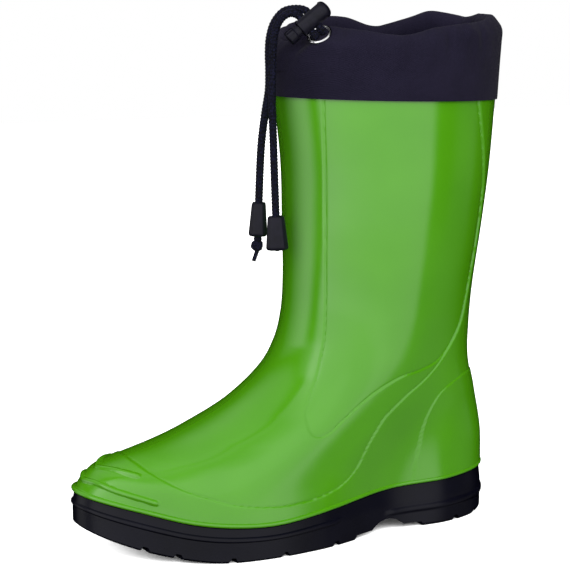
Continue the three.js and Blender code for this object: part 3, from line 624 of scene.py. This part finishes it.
def moulded_relief(points, station, level):
    """How far the upper's surface stands out at each point."""
    flat = points.reshape(-1, 3)
    station = station.ravel()
    level = level.ravel()
    swoosh_tree, swoosh = line_tree(SWOOSH)
    panel_tree, panel = line_tree(PANEL)
    counter_tree, counter = line_tree(COUNTER)
    to_swoosh = distances(swoosh_tree, flat)
    to_panel = distances(panel_tree, flat)
    to_counter = distances(counter_tree, flat)
    band = np.concatenate([swoosh, [(-0.1, 0.262), (-0.1, -0.3), (1.2, -0.3), (1.2, 2.2)]])
    heel = np.concatenate([[(1.2, 0.612)], counter, [(0.672, -0.3), (1.2, -0.3)]])
    join = np.argmin(np.abs(swoosh - PANEL_JOIN).sum(1))
    front = np.concatenate([panel, swoosh[:join][::-1]])

    def step(outline, distance):
        sign = np.where(inside(outline, station, level), 1.0, -1.0)
        return smoothstep(sign * distance, -EDGE_WIDTH / 2, EDGE_WIDTH / 2)

    upper_swoosh = np.where(level > PANEL_JOIN[1], to_swoosh, FAR)
    relief = BAND_RISE * step(band, to_swoosh)
    relief -= PANEL_FALL * step(front, np.minimum(to_panel, upper_swoosh))
    relief += COUNTER_RISE * step(heel, to_counter)
    for distance in (to_swoosh, np.minimum(to_panel, upper_swoosh)):
        relief -= CREASE_DEPTH * np.exp(-(distance / CREASE_HALF_WIDTH) ** 2)
    for rib in TOE_RIBS:
        rib_tree, _ = line_tree(rib)
        reach = np.clip(distances(rib_tree, flat) / RIB_HALF_WIDTH, 0, 1)
        relief += RIB_HEIGHT * (1 - reach ** 2) ** 0.75
    return relief.reshape(points.shape[:2])


UPPER_HALF = 320
upper_levels = np.concatenate([
    np.linspace(0.026, 1.05, 250),
    np.linspace(1.05, 2, 90)[1:],
])
outer = skin(upper_levels, UPPER_HALF)
normals = skin_normals(outer)
stations, sides = ring_places(UPPER_HALF)
relief = moulded_relief(
    outer,
    np.broadcast_to(stations[None, :], outer.shape[:2]),
    np.broadcast_to(upper_levels[:, None], outer.shape[:2]),
)
welt_ring = skin([0.0], UPPER_HALF)[0]
welt_line = welt_z(welt_ring[:, 0])
welt_ring = raised_to(welt_ring, welt_line)
tray_line = welt_line - TRAY_DEPTH
outer_raised = outer + normals * relief[..., None]
outer_raised[0, :, 2] = np.maximum(outer_raised[0, :, 2], welt_line + WELT_TALL)
wall_levels = np.linspace(0.026, 2, 60)
inner_base = skin(wall_levels, UPPER_HALF)
inner = inner_base - skin_normals(inner_base) * SHELL_WALL
rows = [
    raised_to(plan_inset(welt_ring, SOLE_RIM + GAP), tray_line + GAP),
    raised_to(plan_inset(welt_ring, SOLE_RIM + GAP), welt_line + GAP / 2),
]
BEAD_RADIUS = 1.2
for angle in np.radians(np.linspace(-90, 90, 11)):
    out = WELT_PROUD - BEAD_RADIUS + BEAD_RADIUS * math.cos(angle)
    height = welt_line + GAP / 2 + BEAD_RADIUS * (1 + math.sin(angle))
    rows.append(raised_to(plan_inset(welt_ring, -out), height))
rows += list(outer_raised)
rim_middle = (outer_raised[-1] + inner[-1]) / 2
for share in (0.35, 0.75, 1.0):
    lifted = mix(outer_raised[-1], rim_middle, share)
    lifted[:, 2] += 0.4 * share
    rows.append(lifted)
rows += list(inner[::-1])
rows.append(raised_to(plan_inset(welt_ring, SOLE_RIM + GAP + SHELL_WALL), tray_line + GAP + FLOOR_THICKNESS))
upper_rows = np.array(rows)
columns = 2 * UPPER_HALF
quads = np.concatenate([
    band_quads(len(rows), columns),
    ladder_quads(0, columns, True),
    ladder_quads((len(rows) - 1) * columns, columns, False),
])
mesh = quad_mesh("upper", to_world(upper_rows.reshape(-1, 3)), quads)
upper = finish_piece("upper", mesh, green_pvc, "root", 50)
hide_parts("upper_shell")

# ---------------------------------------------------------------- lining and insole
INNER_HALF = 120
INNER_COLUMNS = 2 * INNER_HALF
LINING_OUTER = 0.5                  # depths below the shell's inner face
LINING_INNER = 1.4
lining_levels = np.linspace(0.05, 2, 60)
lining_base = skin(lining_levels, INNER_HALF)
lining_normals = skin_normals(lining_base)
lining_rows = np.concatenate([
    lining_base - lining_normals * (SHELL_WALL + LINING_OUTER),
    (lining_base - lining_normals * (SHELL_WALL + LINING_INNER))[::-1],
])
mesh = quad_mesh(
    "lining",
    to_world(lining_rows.reshape(-1, 3)),
    band_quads(len(lining_rows), INNER_COLUMNS, wrap_rows=True),
)
lining = finish_piece("lining", mesh, grey_knit, "root", 50)
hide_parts("textile_lining")

floor_ring = raised_to(skin([0.0], INNER_HALF)[0], 0)
floor_ring[:, 2] = welt_z(floor_ring[:, 0])


def insole_layer(name, bottom, thickness, material, node):
    floor_line = floor_ring[:, 2] - TRAY_DEPTH + GAP + FLOOR_THICKNESS + GAP
    edge = SOLE_RIM + GAP + SHELL_WALL + 0.6
    layer_rows = []
    for out, height in ((1.5, 0), (0.3, 0.12), (0, 0.4), (0, 0.7), (0.35, 0.93), (1.6, 1)):
        ring = plan_inset(floor_ring, edge + out * min(thickness, 1.0))
        layer_rows.append(raised_to(ring, floor_line + bottom + height * thickness))
    layer_rows = np.array(layer_rows)
    faces = np.concatenate([
        band_quads(len(layer_rows), INNER_COLUMNS),
        ladder_quads(0, INNER_COLUMNS, True),
        ladder_quads((len(layer_rows) - 1) * INNER_COLUMNS, INNER_COLUMNS, False),
    ])
    piece_mesh = quad_mesh(name, to_world(layer_rows.reshape(-1, 3)), faces)
    piece = finish_piece(name, piece_mesh, material, "root", 60)
    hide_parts(node)


insole_layer("insole_base", 0, 4, pale_foam, "insole_foam")
insole_layer("insole_top", 4 + GAP, 1, grey_knit, "insole_cover")

# ---------------------------------------------------------------- outsole
TOE_SPRING = 17
HEEL_BEVEL = 2.5
GROOVE_DEPTH = 3
GROOVE_WIDTH = 3.4
GROOVES = (0.06, 0.13, 0.48, 0.615, 0.735, 0.84, 0.9)   # in shares of the length from the heel
SHANK_LIFT = 2.8
ARCH_RADIUS = 14.5
ARCH_HEIGHT = 7.2
ARCH_REACH = 13
WAIST_FRONT = HEEL_X - 0.4 * SOLE_LENGTH
WAIST_BACK = HEEL_X - 0.215 * SOLE_LENGTH


def ground_z(x):
    share = length_share(x)
    toe = np.maximum(share - 0.7, 0) / 0.3
    heel = np.maximum(0.07 - share, 0) / 0.07
    return TOE_SPRING * toe ** 2 + HEEL_BEVEL * heel ** 2


def tread_lift(x, y):
    """Height of the tread's surface above the lugs: grooves, the raised waist and its arches."""
    lift = np.zeros_like(x)
    for share in GROOVES:
        sweep = 4 if share < 0.3 else 7
        middle = HEEL_X - share * SOLE_LENGTH + np.abs(y) * sweep / 60
        away = np.abs(x - middle)
        groove = GROOVE_DEPTH * (1 - smoothstep(away, GROOVE_WIDTH / 2 - 0.5, GROOVE_WIDTH / 2 + 0.2))
        lift = np.maximum(lift, groove)
    waist = smoothstep(x, WAIST_FRONT - 0.5, WAIST_FRONT + 0.5)
    waist *= 1 - smoothstep(x, WAIST_BACK - 0.5, WAIST_BACK + 0.5)
    lift = np.maximum(lift, waist * SHANK_LIFT)
    middle = (WAIST_FRONT + WAIST_BACK) / 2
    round_part = np.sqrt(np.maximum(ARCH_RADIUS ** 2 - (x - middle) ** 2, 0))
    arch = ARCH_HEIGHT - ARCH_RADIUS + round_part
    side = np.where(y < 0, -1.0, 1.0)
    edge = half_width(np.zeros_like(x), np.full_like(x, 0.63), side)
    beyond = smoothstep(np.abs(y), edge - ARCH_REACH - 0.5, edge - ARCH_REACH + 0.5)
    return np.maximum(lift, np.where(arch > 0, arch * beyond, 0))


def rib_strength(x):
    share = length_share(x)
    return np.maximum(smoothstep(share, 0.44, 0.47), 1 - smoothstep(share, 0.29, 0.32))


SOLE_HALF = 480
sole_ring = skin([0.0], SOLE_HALF)[0]
sole_top = welt_z(sole_ring[:, 0])
sole_ring = raised_to(sole_ring, sole_top)
sole_ground = ground_z(sole_ring[:, 0])
wall_top = sole_top - GAP / 2
strength = rib_strength(sole_ring[:, 0])
rib_drop = np.where(length_share(sole_ring[:, 0]) < 0.38, 0.55, 0.32)
sole_rows = [
    raised_to(plan_inset(sole_ring, SOLE_RIM), sole_top - TRAY_DEPTH),
    raised_to(plan_inset(sole_ring, SOLE_RIM), wall_top - 0.4),
    raised_to(plan_inset(sole_ring, SOLE_RIM - 0.4), wall_top),
    raised_to(plan_inset(sole_ring, 0.5), wall_top),
    raised_to(plan_inset(sole_ring, 0.12), wall_top - 0.15),
]
for drop in np.concatenate([np.linspace(0.02, 0.92, 46), np.linspace(0.93, 1, 8)]):
    flare = SOLE_FLARE * smoothstep(drop, 0.0, 0.42)
    rib = np.clip(1 - (np.abs(drop - rib_drop) / 0.075) ** 4, 0, 1) * RIB_PROUD * strength
    bevel = 1.4 * np.clip((drop - 0.93) / 0.07, 0, 1) ** 1.5
    ring = plan_inset(sole_ring, -(flare - bevel) - rib)
    height = mix(wall_top, sole_ground, drop)
    lowest = ground_z(ring[:, 0]) + tread_lift(ring[:, 0], ring[:, 1])
    sole_rows.append(raised_to(ring, np.maximum(height, lowest)))
sole_rows = np.array(sole_rows)
sole_columns = 2 * SOLE_HALF
foot = sole_rows[-1]
out_line = foot[:SOLE_HALF + 1]
in_line = foot[(sole_columns - np.arange(SOLE_HALF + 1)) % sole_columns]
ACROSS = 90
across = np.linspace(0, 1, ACROSS + 1)[None, :, None]
tread = mix(out_line[:, None], in_line[:, None], across)
tread_x, tread_y = tread[..., 0].copy(), tread[..., 1].copy()
tread_z = ground_z(tread_x) + tread_lift(tread_x.ravel(), tread_y.ravel()).reshape(tread_x.shape)
tread[:, 1:-1, 2] = tread_z[:, 1:-1]
wall_quads = np.concatenate([
    band_quads(len(sole_rows), sole_columns)[:, ::-1],
    ladder_quads(0, sole_columns, False),
])
tread_quads = sheet_quads(SOLE_HALF + 1, ACROSS + 1)[:, ::-1] + len(sole_rows) * sole_columns
points = np.concatenate([sole_rows.reshape(-1, 3), tread.reshape(-1, 3)])
mesh = quad_mesh("sole", to_world(points), np.concatenate([wall_quads, tread_quads]))
sole = finish_piece("sole", mesh, navy_pvc, "root", 40)
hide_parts("outsole")

# ---------------------------------------------------------------- cuff
RIM_LATERAL_AT = [0, 0.1, 0.175, 0.26, 0.34, 0.42, 0.52, 0.7, 0.85, 1]
RIM_LATERAL = [27, 29, 35.5, 34.5, 33, 31.5, 36, 39.5, 43, 44]
RIM_MEDIAL_AT = [0, 0.1, 0.25, 0.4, 0.5, 0.6, 0.7, 0.78, 0.86, 0.92, 1]
RIM_MEDIAL = [27, 29, 35, 40, 40.5, 36, 40.5, 45, 43.5, 42, 44]
EYELET_STATION = 0.17


def cuff_sections(station, side):
    """The cloth's middle line, as (outward, up) from the shell's edge, for every place round it."""
    lateral = smooth(RIM_LATERAL_AT, RIM_LATERAL, station)
    rim = np.where(side < 0, lateral, smooth(RIM_MEDIAL_AT, RIM_MEDIAL, station))
    distance = np.abs(station - EYELET_STATION)
    pull = np.where(side < 0, 1 - smoothstep(distance, 0.05, 0.12), 0)
    bulge = 1.7 * smoothstep(station, 0.6, 1)
    plain = [
        (1.0 + 0 * rim, -CUFF_HEM_DROP + 0 * rim), (1.2 + 0 * rim, 1 + 0 * rim),
        (1.8 + 0.2 * bulge, 0.4 * rim), (2.0 + 0.5 * bulge, rim - TUNNEL_DEPTH), (1.6 + bulge, rim - 8),
        (0.2 + 0 * rim, rim - 3.4), (-3 + 0 * rim, rim - 0.6), (-6.4 + 0 * rim, rim - 3.2),
        (-7.2 + 0 * rim, rim - 8), (-5.6 + 0 * rim, rim - 13), (-0.8 + 0 * rim, rim - TUNNEL_DEPTH),
    ]
    pulled = [
        (1.0, -CUFF_HEM_DROP), (1.2, 1), (2.3, 0.3 * rim), (2.4, rim - TUNNEL_DEPTH),
        (1.9, rim - 9.3), (-2.5, rim - 5.3), (-6.9, rim - 1.3), (-10.2, rim - 3),
        (-11.4, rim - 8), (-9.8, rim - 13), (-1.2, rim - TUNNEL_DEPTH - 0.5),
    ]
    sections = [
        np.stack([mix(p[0], q[0], pull), mix(p[1], q[1], pull)], -1) for p, q in zip(plain, pulled)
    ]
    return np.stack(sections)


CUFF_HALF = 210
CUFF_ROWS = 90
cuff_station, cuff_side = ring_places(CUFF_HALF)
cuff_base = skin([2.0], CUFF_HALF)[0]
cuff_run = np.roll(cuff_base, -1, axis=0) - np.roll(cuff_base, 1, axis=0)
cuff_out = np.stack([cuff_run[:, 1], -cuff_run[:, 0], 0 * cuff_run[:, 0]], -1)
cuff_out /= np.linalg.norm(cuff_out, axis=1, keepdims=True)
section = cuff_sections(cuff_station, cuff_side)
knots = np.arange(len(section))
cuff_lines = np.stack([
    np.stack([smooth(knots, section[:, i, axis], np.linspace(0, knots[-1], CUFF_ROWS))
              for i in range(section.shape[1])], -1)
    for axis in (0, 1)
], -1)
around = np.concatenate([[0], np.cumsum(np.linalg.norm(np.diff(cuff_base, axis=0), axis=1))])
down = np.linspace(0, knots[-1], CUFF_ROWS)
slack = smoothstep(down, 1.2, 4.5)[:, None]
away_from_eyelet = smoothstep(np.where(cuff_side < 0, np.abs(cuff_station - EYELET_STATION), 1), 0.05, 0.1)
FOLDS = (                           # count round the rim, phase, size, lean
    (9, 0.4, 0.75, 0.35), (17, 1.9, 0.5, -0.5), (31, 4.1, 0.28, 0.8), (47, 2.7, 0.16, -1.1),
)
fold = np.zeros((CUFF_ROWS, len(cuff_base)))
total = around[-1] + np.linalg.norm(cuff_base[0] - cuff_base[-1])
for count, phase, size, lean in FOLDS:
    wave = np.sin(2 * math.pi * count * around / total + phase + lean * down[:, None])
    fold += size * wave
swell = 0.35 + 0.65 * (0.5 + 0.5 * np.sin(2 * math.pi * 3 * around / total + 0.8 + 0.4 * down[:, None]))
calm = 1 - 0.5 * smoothstep(cuff_station, 0.6, 0.8) * (1 - smoothstep(cuff_station, 0.97, 1))
fold *= slack * swell * away_from_eyelet[None, :] * calm[None, :]
cuff_points = (
    cuff_base[None] + cuff_out[None] * (cuff_lines[..., 0] + fold)[..., None]
    + np.array([0, 0, 1.0]) * (cuff_lines[..., 1] + 0.25 * fold)[..., None]
)
mesh = quad_mesh("cuff_sleeve", to_world(cuff_points.reshape(-1, 3)), band_quads(CUFF_ROWS, len(cuff_base)))
cuff = finish_piece("cuff_sleeve", mesh, navy_cloth, "root")
thick = cuff.modifiers.new("cloth", "SOLIDIFY")
thick.thickness = 0.0008
thick.offset = 0.0
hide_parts("cuff")

# ---------------------------------------------------------------- eyelet
EYELET_CENTRE = Vector((0.00527, -0.02441, 0.26325))
EYELET_AXIS = Vector((-0.54271, -0.39744, 0.73994)).normalized()


def lathe(profile, segments, turn):
    """Turns (radius, height) pairs, in millimetres, about the axis of the turn matrix."""
    profile = np.asarray(profile, float)
    angles = np.arange(segments) / segments * 2 * math.pi
    x = profile[:, :1] * np.cos(angles)[None]
    y = profile[:, :1] * np.sin(angles)[None]
    z = np.broadcast_to(profile[:, 1:], x.shape)
    local = np.stack([x, y, z], -1).reshape(-1, 3) * MM
    matrix = np.array(turn)
    return local @ matrix[:3, :3].T + matrix[:3, 3]


def axis_turn(centre, axis, across):
    side = (across - axis * across.dot(axis)).normalized()
    up = axis.cross(side)
    turn = Matrix((side, up, axis)).transposed().to_4x4()
    turn.translation = centre
    return turn


def rounded_profile(profile, radius, steps=4):
    """Rounds each corner of a closed profile."""
    corners = [np.array(point, float) for point in profile]
    out = []
    for i, corner in enumerate(corners):
        before = corners[i - 1] - corner
        after = corners[(i + 1) % len(corners)] - corner
        reach = min(radius, np.linalg.norm(before) * 0.45, np.linalg.norm(after) * 0.45)
        first = corner + before / np.linalg.norm(before) * reach
        last = corner + after / np.linalg.norm(after) * reach
        for t in np.linspace(0, 1, steps + 1):
            out.append((1 - t) ** 2 * first + 2 * t * (1 - t) * corner + t ** 2 * last)
    return np.array(out)


def ring_piece(name, profile, radius, segments, turn, material, body):
    rounded = rounded_profile(profile, radius)
    points = lathe(rounded, segments, turn)
    piece_mesh = quad_mesh(name, points, band_quads(len(rounded), segments, wrap_rows=True))
    return finish_piece(name, piece_mesh, material, body, 40)


eyelet_turn = axis_turn(EYELET_CENTRE, EYELET_AXIS, Vector((1, 0, 0)))
EYELET_HOLE = CORD_DIAMETER + 0.75
eyelet = ring_piece(
    "eyelet_ring",
    [(EYELET_HOLE, -1.9), (EYELET_HOLE + 0.6, -1.9), (EYELET_HOLE + 0.6, 0.9), (6.3, 0.9), (6.6, 1.3),
     (6.1, 1.9), (5.5, 1.95), (EYELET_HOLE, 1.3)],
    0.4, 72, eyelet_turn, nickel, "root",
)
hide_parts("eyelet")
washer = ring_piece(
    "eyelet_back", [(5.9, -1.6), (6.0, -1.6), (6.0, -1.1), (5.9, -1.1)],
    0.05, 64, eyelet_turn, nickel, "root",
)
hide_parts("eyelet_washer")

# ---------------------------------------------------------------- cord lock
LOCK_CENTRE = Vector((0.00014, -0.02237, 0.27042))
LOCK_RUN = Vector((-0.5327, 0.39478, 0.74858)).normalized()
LOCK_AXIS = Vector((0.73398, -0.22482, 0.64088)).normalized()
lock_turn = axis_turn(LOCK_CENTRE, LOCK_AXIS, LOCK_RUN)


def solid_lathe(name, profile, radius, segments, turn):
    """A turned solid whose profile starts and ends on the axis."""
    corners = rounded_profile(profile, radius)
    corners[:, 0] = np.maximum(corners[:, 0], 0)
    points = lathe(corners, segments, turn)
    return quad_mesh(name, points, band_quads(len(corners), segments, wrap_rows=True))


def slot_box(name, size, middle, turn):
    """A cutter: half sizes and middle in the lock's own axes, millimetres."""
    corners = []
    for x in (-1, 1):
        for y in (-1, 1):
            for z in (-1, 1):
                local = Vector((x * size[0] + middle[0], y * size[1] + middle[1], z * size[2] + middle[2]))
                corners.append(tuple(turn @ (local * MM)))
    faces = [(0, 1, 3, 2), (4, 6, 7, 5), (0, 4, 5, 1), (2, 3, 7, 6), (0, 2, 6, 4), (1, 5, 7, 3)]
    mesh = bpy.data.meshes.new(name)
    mesh.from_pydata(corners, [], faces)
    cutter = bpy.data.objects.new(name, mesh)
    bpy.context.scene.collection.objects.link(cutter)
    return cutter


def cut_and_bevel(piece, cutters, width):
    for cutter in cutters:
        modifier = piece.modifiers.new("cut", "BOOLEAN")
        modifier.object = cutter
        modifier.solver = "EXACT"
    soften = piece.modifiers.new("edges", "BEVEL")
    soften.width = width * MM
    soften.segments = 2
    soften.limit_method = "ANGLE"
    soften.angle_limit = math.radians(35)
    bpy.context.view_layer.update()
    graph = bpy.context.evaluated_depsgraph_get()
    made = bpy.data.meshes.new_from_object(piece.evaluated_get(graph))
    piece.modifiers.clear()
    piece.data = made
    made.polygons.foreach_set("use_smooth", np.ones(len(made.polygons), bool))
    made.set_sharp_from_angle(angle=math.radians(35))
    for cutter in cutters:
        bpy.data.objects.remove(cutter)


mesh = solid_lathe(
    "barrel",
    [(3.5, -6), (4.8, -6), (4.8, 9.2), (4.4, 10.6), (3.4, 11.6), (1.8, 12.1), (0.001, 12.3),
     (0.001, 10.8), (3.5, 10.8)],
    0.6, 64, lock_turn,
)
barrel = finish_piece("barrel", mesh, black_plastic, "cord_lock")
cut_and_bevel(barrel, [slot_box("slot", (9, 2.45, 6.9), (0, 0, 2.3), lock_turn)], 0.15)
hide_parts("lock_barrel")

mesh = solid_lathe(
    "button",
    [(0.001, -13.8), (3.3, -13.8), (3.9, -13.2), (3.9, -9.4), (3.4, -8.8), (3.2, -8.8),
     (3.2, 5.6), (0.001, 5.6)],
    0.35, 60, lock_turn,
)
button = finish_piece("button", mesh, black_plastic, "plunger")
GRIPS = 12
grips = []
for i in range(GRIPS):
    angle = i / GRIPS * 2 * math.pi
    turned = lock_turn @ Matrix.Rotation(angle, 4, "Z")
    grips.append(slot_box("grip", (0.45, 0.42, 1.9), (3.95, 0, -11.3), turned))
cut_and_bevel(button, [slot_box("slot", (9, 2.45, 5.775), (0, 0, -1.3), lock_turn)] + grips, 0.12)
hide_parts("lock_plunger")


# ---------------------------------------------------------------- knots and cord ends
def strand_foot(key):
    foot = Vector(strands[key]["foot"])
    up = Vector(strands[key]["up"]).normalized()
    return foot, up


def knot_piece(key, size, tail, lean):
    """An overhand knot pulled tight, with the cut tail below it."""
    foot, up = strand_foot(key)
    turn = axis_turn(foot - up * 0.0027, up, Vector((1, 0.2, 0)))
    t = np.linspace(0, 2 * math.pi, 260)
    ring = np.stack([
        (np.sin(t) + 1.6 * np.sin(2 * t)) * 0.78,
        (np.cos(t) - 1.6 * np.cos(2 * t)) * 0.78,
        -1.35 * np.sin(3 * t),
    ], -1) * size
    loop = swept(ring, lambda run, angle: braided(run, angle, 3.1 * size), 16)
    below = np.array([[0, 0, -1.5], [0.2 * lean, 0, -3.2], [lean, 0.2, -tail]])
    end = swept(
        smooth_path(below, 60),
        lambda run, angle: braided(run, angle, 2.4) * (1.05 - 0.1 * run / tail),
        16,
    )
    core = swept(
        np.array([[0, 0, 2.6], [0, 0, 1.0], [0, 0, -2.2]]),
        lambda run, angle: 2.0 + 0 * run + 0 * angle,
        16,
    )
    matrix = np.array(turn)
    parts = []
    for points, quads, caps in (loop, end, core):
        parts.append((points * MM @ matrix[:3, :3].T + matrix[:3, 3], quads, caps))
    piece = finish_piece("knot_" + key, mixed_mesh("knot_" + key, parts), navy_cord, "cord_lock")
    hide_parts("cord_knot_" + key)
    return piece


knots_made = {"a": knot_piece("a", 1.0, 8.2, -2.2), "b": knot_piece("b", 0.84, 4.6, 0.1)}


def bell_section(share):
    x = 5.8 * share
    y = 4.8 * share
    cut = 2.2 * share
    return [(-x, -y + cut), (-x + cut, -y), (x - cut, -y), (x, -y + cut),
            (x, y - cut), (x - cut, y), (-x + cut, y), (-x, y - cut)]


def bell_piece(key, lift, turn_angle):
    foot, up = strand_foot(key)
    swing = Vector((0, 0, 1)).rotation_difference(up).to_matrix().to_4x4()
    turn = Matrix.Translation(foot + up * lift * MM) @ swing @ Matrix.Rotation(turn_angle, 4, "Z")
    rings = [(0.88, 0.0), (1.0, 1.2), (0.985, 2.4), (0.76, BELL_HEIGHT - 1.0), (0.68, BELL_HEIGHT)]
    rows = [[(*corner, height) for corner in bell_section(share)] for share, height in rings]
    for radius, height in ((2.55, BELL_HEIGHT), (2.55, 8.5), (4.25, 6.8), (4.25, 0.0)):
        rows.append([(*(Vector(corner).normalized() * radius), height) for corner in bell_section(1)])
    flat = [tuple(turn @ (Vector(point) * MM)) for row in rows for point in row]
    mesh = quad_mesh("bell_" + key, np.array(flat), band_quads(len(rows), 8, wrap_rows=True))
    piece = finish_piece("bell_" + key, mesh, black_plastic, "bell_" + key)
    cut_and_bevel(piece, [], 0.45)
    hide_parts("cord_bell_" + key)
    return piece


bells = {"a": bell_piece("a", 2.6, 1.1), "b": bell_piece("b", -6.6, -0.45)}

for key, strand in strands.items():
    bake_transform(strand["piece"])

for key, strand in strands.items():
    for piece in (strand["piece"], bells[key], knots_made[key]):
        piece.visible_glossy = False

# ---------------------------------------------------------------- carried-over nodes
for node, material in (("drawstring_tunnel", navy_cord), ("lock_spring", steel)):
    data = bpy.data.objects[node].data
    data.materials.clear()
    data.materials.append(material)

# ---------------------------------------------------------------- floor, light and world
floor_mesh = bpy.data.meshes.new("floor")
floor_mesh.from_pydata([(-3, -3, 0), (3, -3, 0), (3, 3, 0), (-3, 3, 0)], [], [(0, 1, 2, 3)])
floor_nodes = Nodes("floor")
floor_nodes.set(Base_Color=(0.9, 0.9, 0.9, 1.0), Roughness=0.9, Specular_IOR_Level=0.0)
# The floor glows evenly white as a backdrop. Ambient occlusion dims that glow near the boot, which is a
# painted contact shadow, not a shadow cast by the lamps.
open_sky = floor_nodes.add("ShaderNodeAmbientOcclusion", Distance=0.02).outputs["AO"]
glow_with_painted_shadow = floor_nodes.add("ShaderNodeMapRange", Value=open_sky)
glow_with_painted_shadow.inputs["From Min"].default_value = 0.05
glow_with_painted_shadow.inputs["From Max"].default_value = 0.25
floor_nodes.set(Emission_Color=(1.0, 1.0, 1.0, 1.0), Emission_Strength=glow_with_painted_shadow.outputs["Result"])
floor_mesh.materials.append(floor_nodes.material)
floor = bpy.data.objects.new("floor", floor_mesh)
bpy.context.scene.collection.objects.link(floor)
floor.visible_glossy = False
floor.visible_diffuse = False


def soft_sun(name, towards, irradiance, spread):
    """A wide, even softbox without an image of its own in the gloss."""
    data = bpy.data.lights.new(name, "SUN")
    data.energy = irradiance
    data.angle = math.radians(spread)
    lamp = bpy.data.objects.new(name, data)
    bpy.context.scene.collection.objects.link(lamp)
    lamp.rotation_euler = Vector(towards).to_track_quat("-Z", "Y").to_euler()
    lamp.visible_glossy = False


def near_panel(name, place, target, size, power):
    """A softbox close enough to light the top of the shaft more than the foot."""
    data = bpy.data.lights.new(name, "AREA")
    data.energy = power
    data.size = size
    lamp = bpy.data.objects.new(name, data)
    bpy.context.scene.collection.objects.link(lamp)
    lamp.location = place
    lamp.rotation_euler = (Vector(target) - Vector(place)).to_track_quat("-Z", "Y").to_euler()
    lamp.visible_glossy = False
    lamp.visible_camera = False


bpy.context.scene.view_settings.view_transform = "Standard"
soft_sun("overhead", (0.05, 0.05, -1), 0.95, 75)
soft_sun("front_left", (0.75, 0.55, -0.5), 1.15, 60)
near_panel("top_panel", (-0.1, -0.5, 0.4), (0, 0, 0.2), 0.3, 2.0)
soft_sun("front_right", (-0.6, 0.7, -0.35), 0.45, 60)

# The softboxes that the glossy surfaces mirror: two tall ones with a gap between them, a hazy
# sky above and a small one low on the heel side. Angles are about the view direction.
VIEW_TURN = 115.5
world = bpy.data.worlds.new("studio")
bpy.context.scene.world = world
world.use_nodes = True


class Sky(Nodes):
    def __init__(self, tree):
        self.tree = tree
        self.coords = self.add("ShaderNodeTexCoord").outputs["Generated"]
        turn = self.add("ShaderNodeVectorRotate", Vector=self.coords, Angle=math.radians(VIEW_TURN))
        axes = self.add("ShaderNodeSeparateXYZ", Vector=turn.outputs["Vector"]).outputs
        self.across = self.maths("ARCTAN2", axes["Y"], axes["X"])
        self.height = self.maths("ARCSINE", axes["Z"])

    def ramp_up(self, value, low, high, bottom=0.0, top=1.0):
        node = self.add("ShaderNodeMapRange", Value=value)
        node.interpolation_type = "SMOOTHSTEP"
        node.inputs["From Min"].default_value = math.radians(low)
        node.inputs["From Max"].default_value = math.radians(high)
        node.inputs["To Min"].default_value = bottom
        node.inputs["To Max"].default_value = top
        return node.outputs["Result"]

    def band(self, value, low, high, soft):
        rise = self.ramp_up(value, low - soft, low + soft)
        fall = self.ramp_up(value, high - soft, high + soft, 1.0, 0.0)
        return self.maths("MULTIPLY", rise, fall)

    def product(self, *values):
        total = values[0]
        for value in values[1:]:
            total = self.maths("MULTIPLY", total, value)
        return total

    def total(self, *values):
        total = values[0]
        for value in values[1:]:
            total = self.maths("ADD", total, value)
        return total


sky = Sky(world.node_tree)
low_glow = sky.total(1.0, sky.product(sky.band(sky.height, -12, -4, 2.5), 0.2))
front_box = sky.product(
    sky.band(sky.across, -59, 60, 5),
    sky.ramp_up(sky.across, -60, 10, 1.6, 1.12),
    sky.ramp_up(sky.height, -40, -13),
    sky.ramp_up(sky.height, 46, 72, 1.0, 0.3),
    low_glow,
)
glow = sky.product(sky.band(sky.across, -70, -42, 10), sky.band(sky.height, 14, 46, 6), 0.7)
side_box = sky.product(
    sky.band(sky.across, -116, -72, 7),
    sky.band(sky.height, -20, 20, 5),
    sky.ramp_up(sky.across, -116, -80, 0.2, 1.3),
)
haze = sky.product(sky.band(sky.across, -160, -80, 14), sky.ramp_up(sky.height, 24, 46), 0.5)
zenith = sky.product(sky.ramp_up(sky.height, 68, 84), 0.2)
heel_box = sky.product(sky.band(sky.across, 84, 112, 7), sky.band(sky.height, -13, -2, 4), 0.15)
floor_glow = sky.product(sky.band(sky.across, 40, 104, 20), sky.band(sky.height, -60, -16, 8), 0.25)
mirrored = sky.total(front_box, glow, side_box, haze, zenith, heel_box, floor_glow)
path = sky.add("ShaderNodeLightPath").outputs
background = world.node_tree.nodes["Background"]
background.inputs["Color"].default_value = (1.0, 1.0, 1.0, 1.0)
FILL = 0.5
glossy = sky.product(path["Is Glossy Ray"], mirrored)
seen = path["Is Camera Ray"]
rest = sky.product(sky.maths("SUBTRACT", 1.0, sky.total(path["Is Glossy Ray"], seen)), FILL)
world.node_tree.links.new(sky.total(glossy, seen, rest), background.inputs["Strength"])
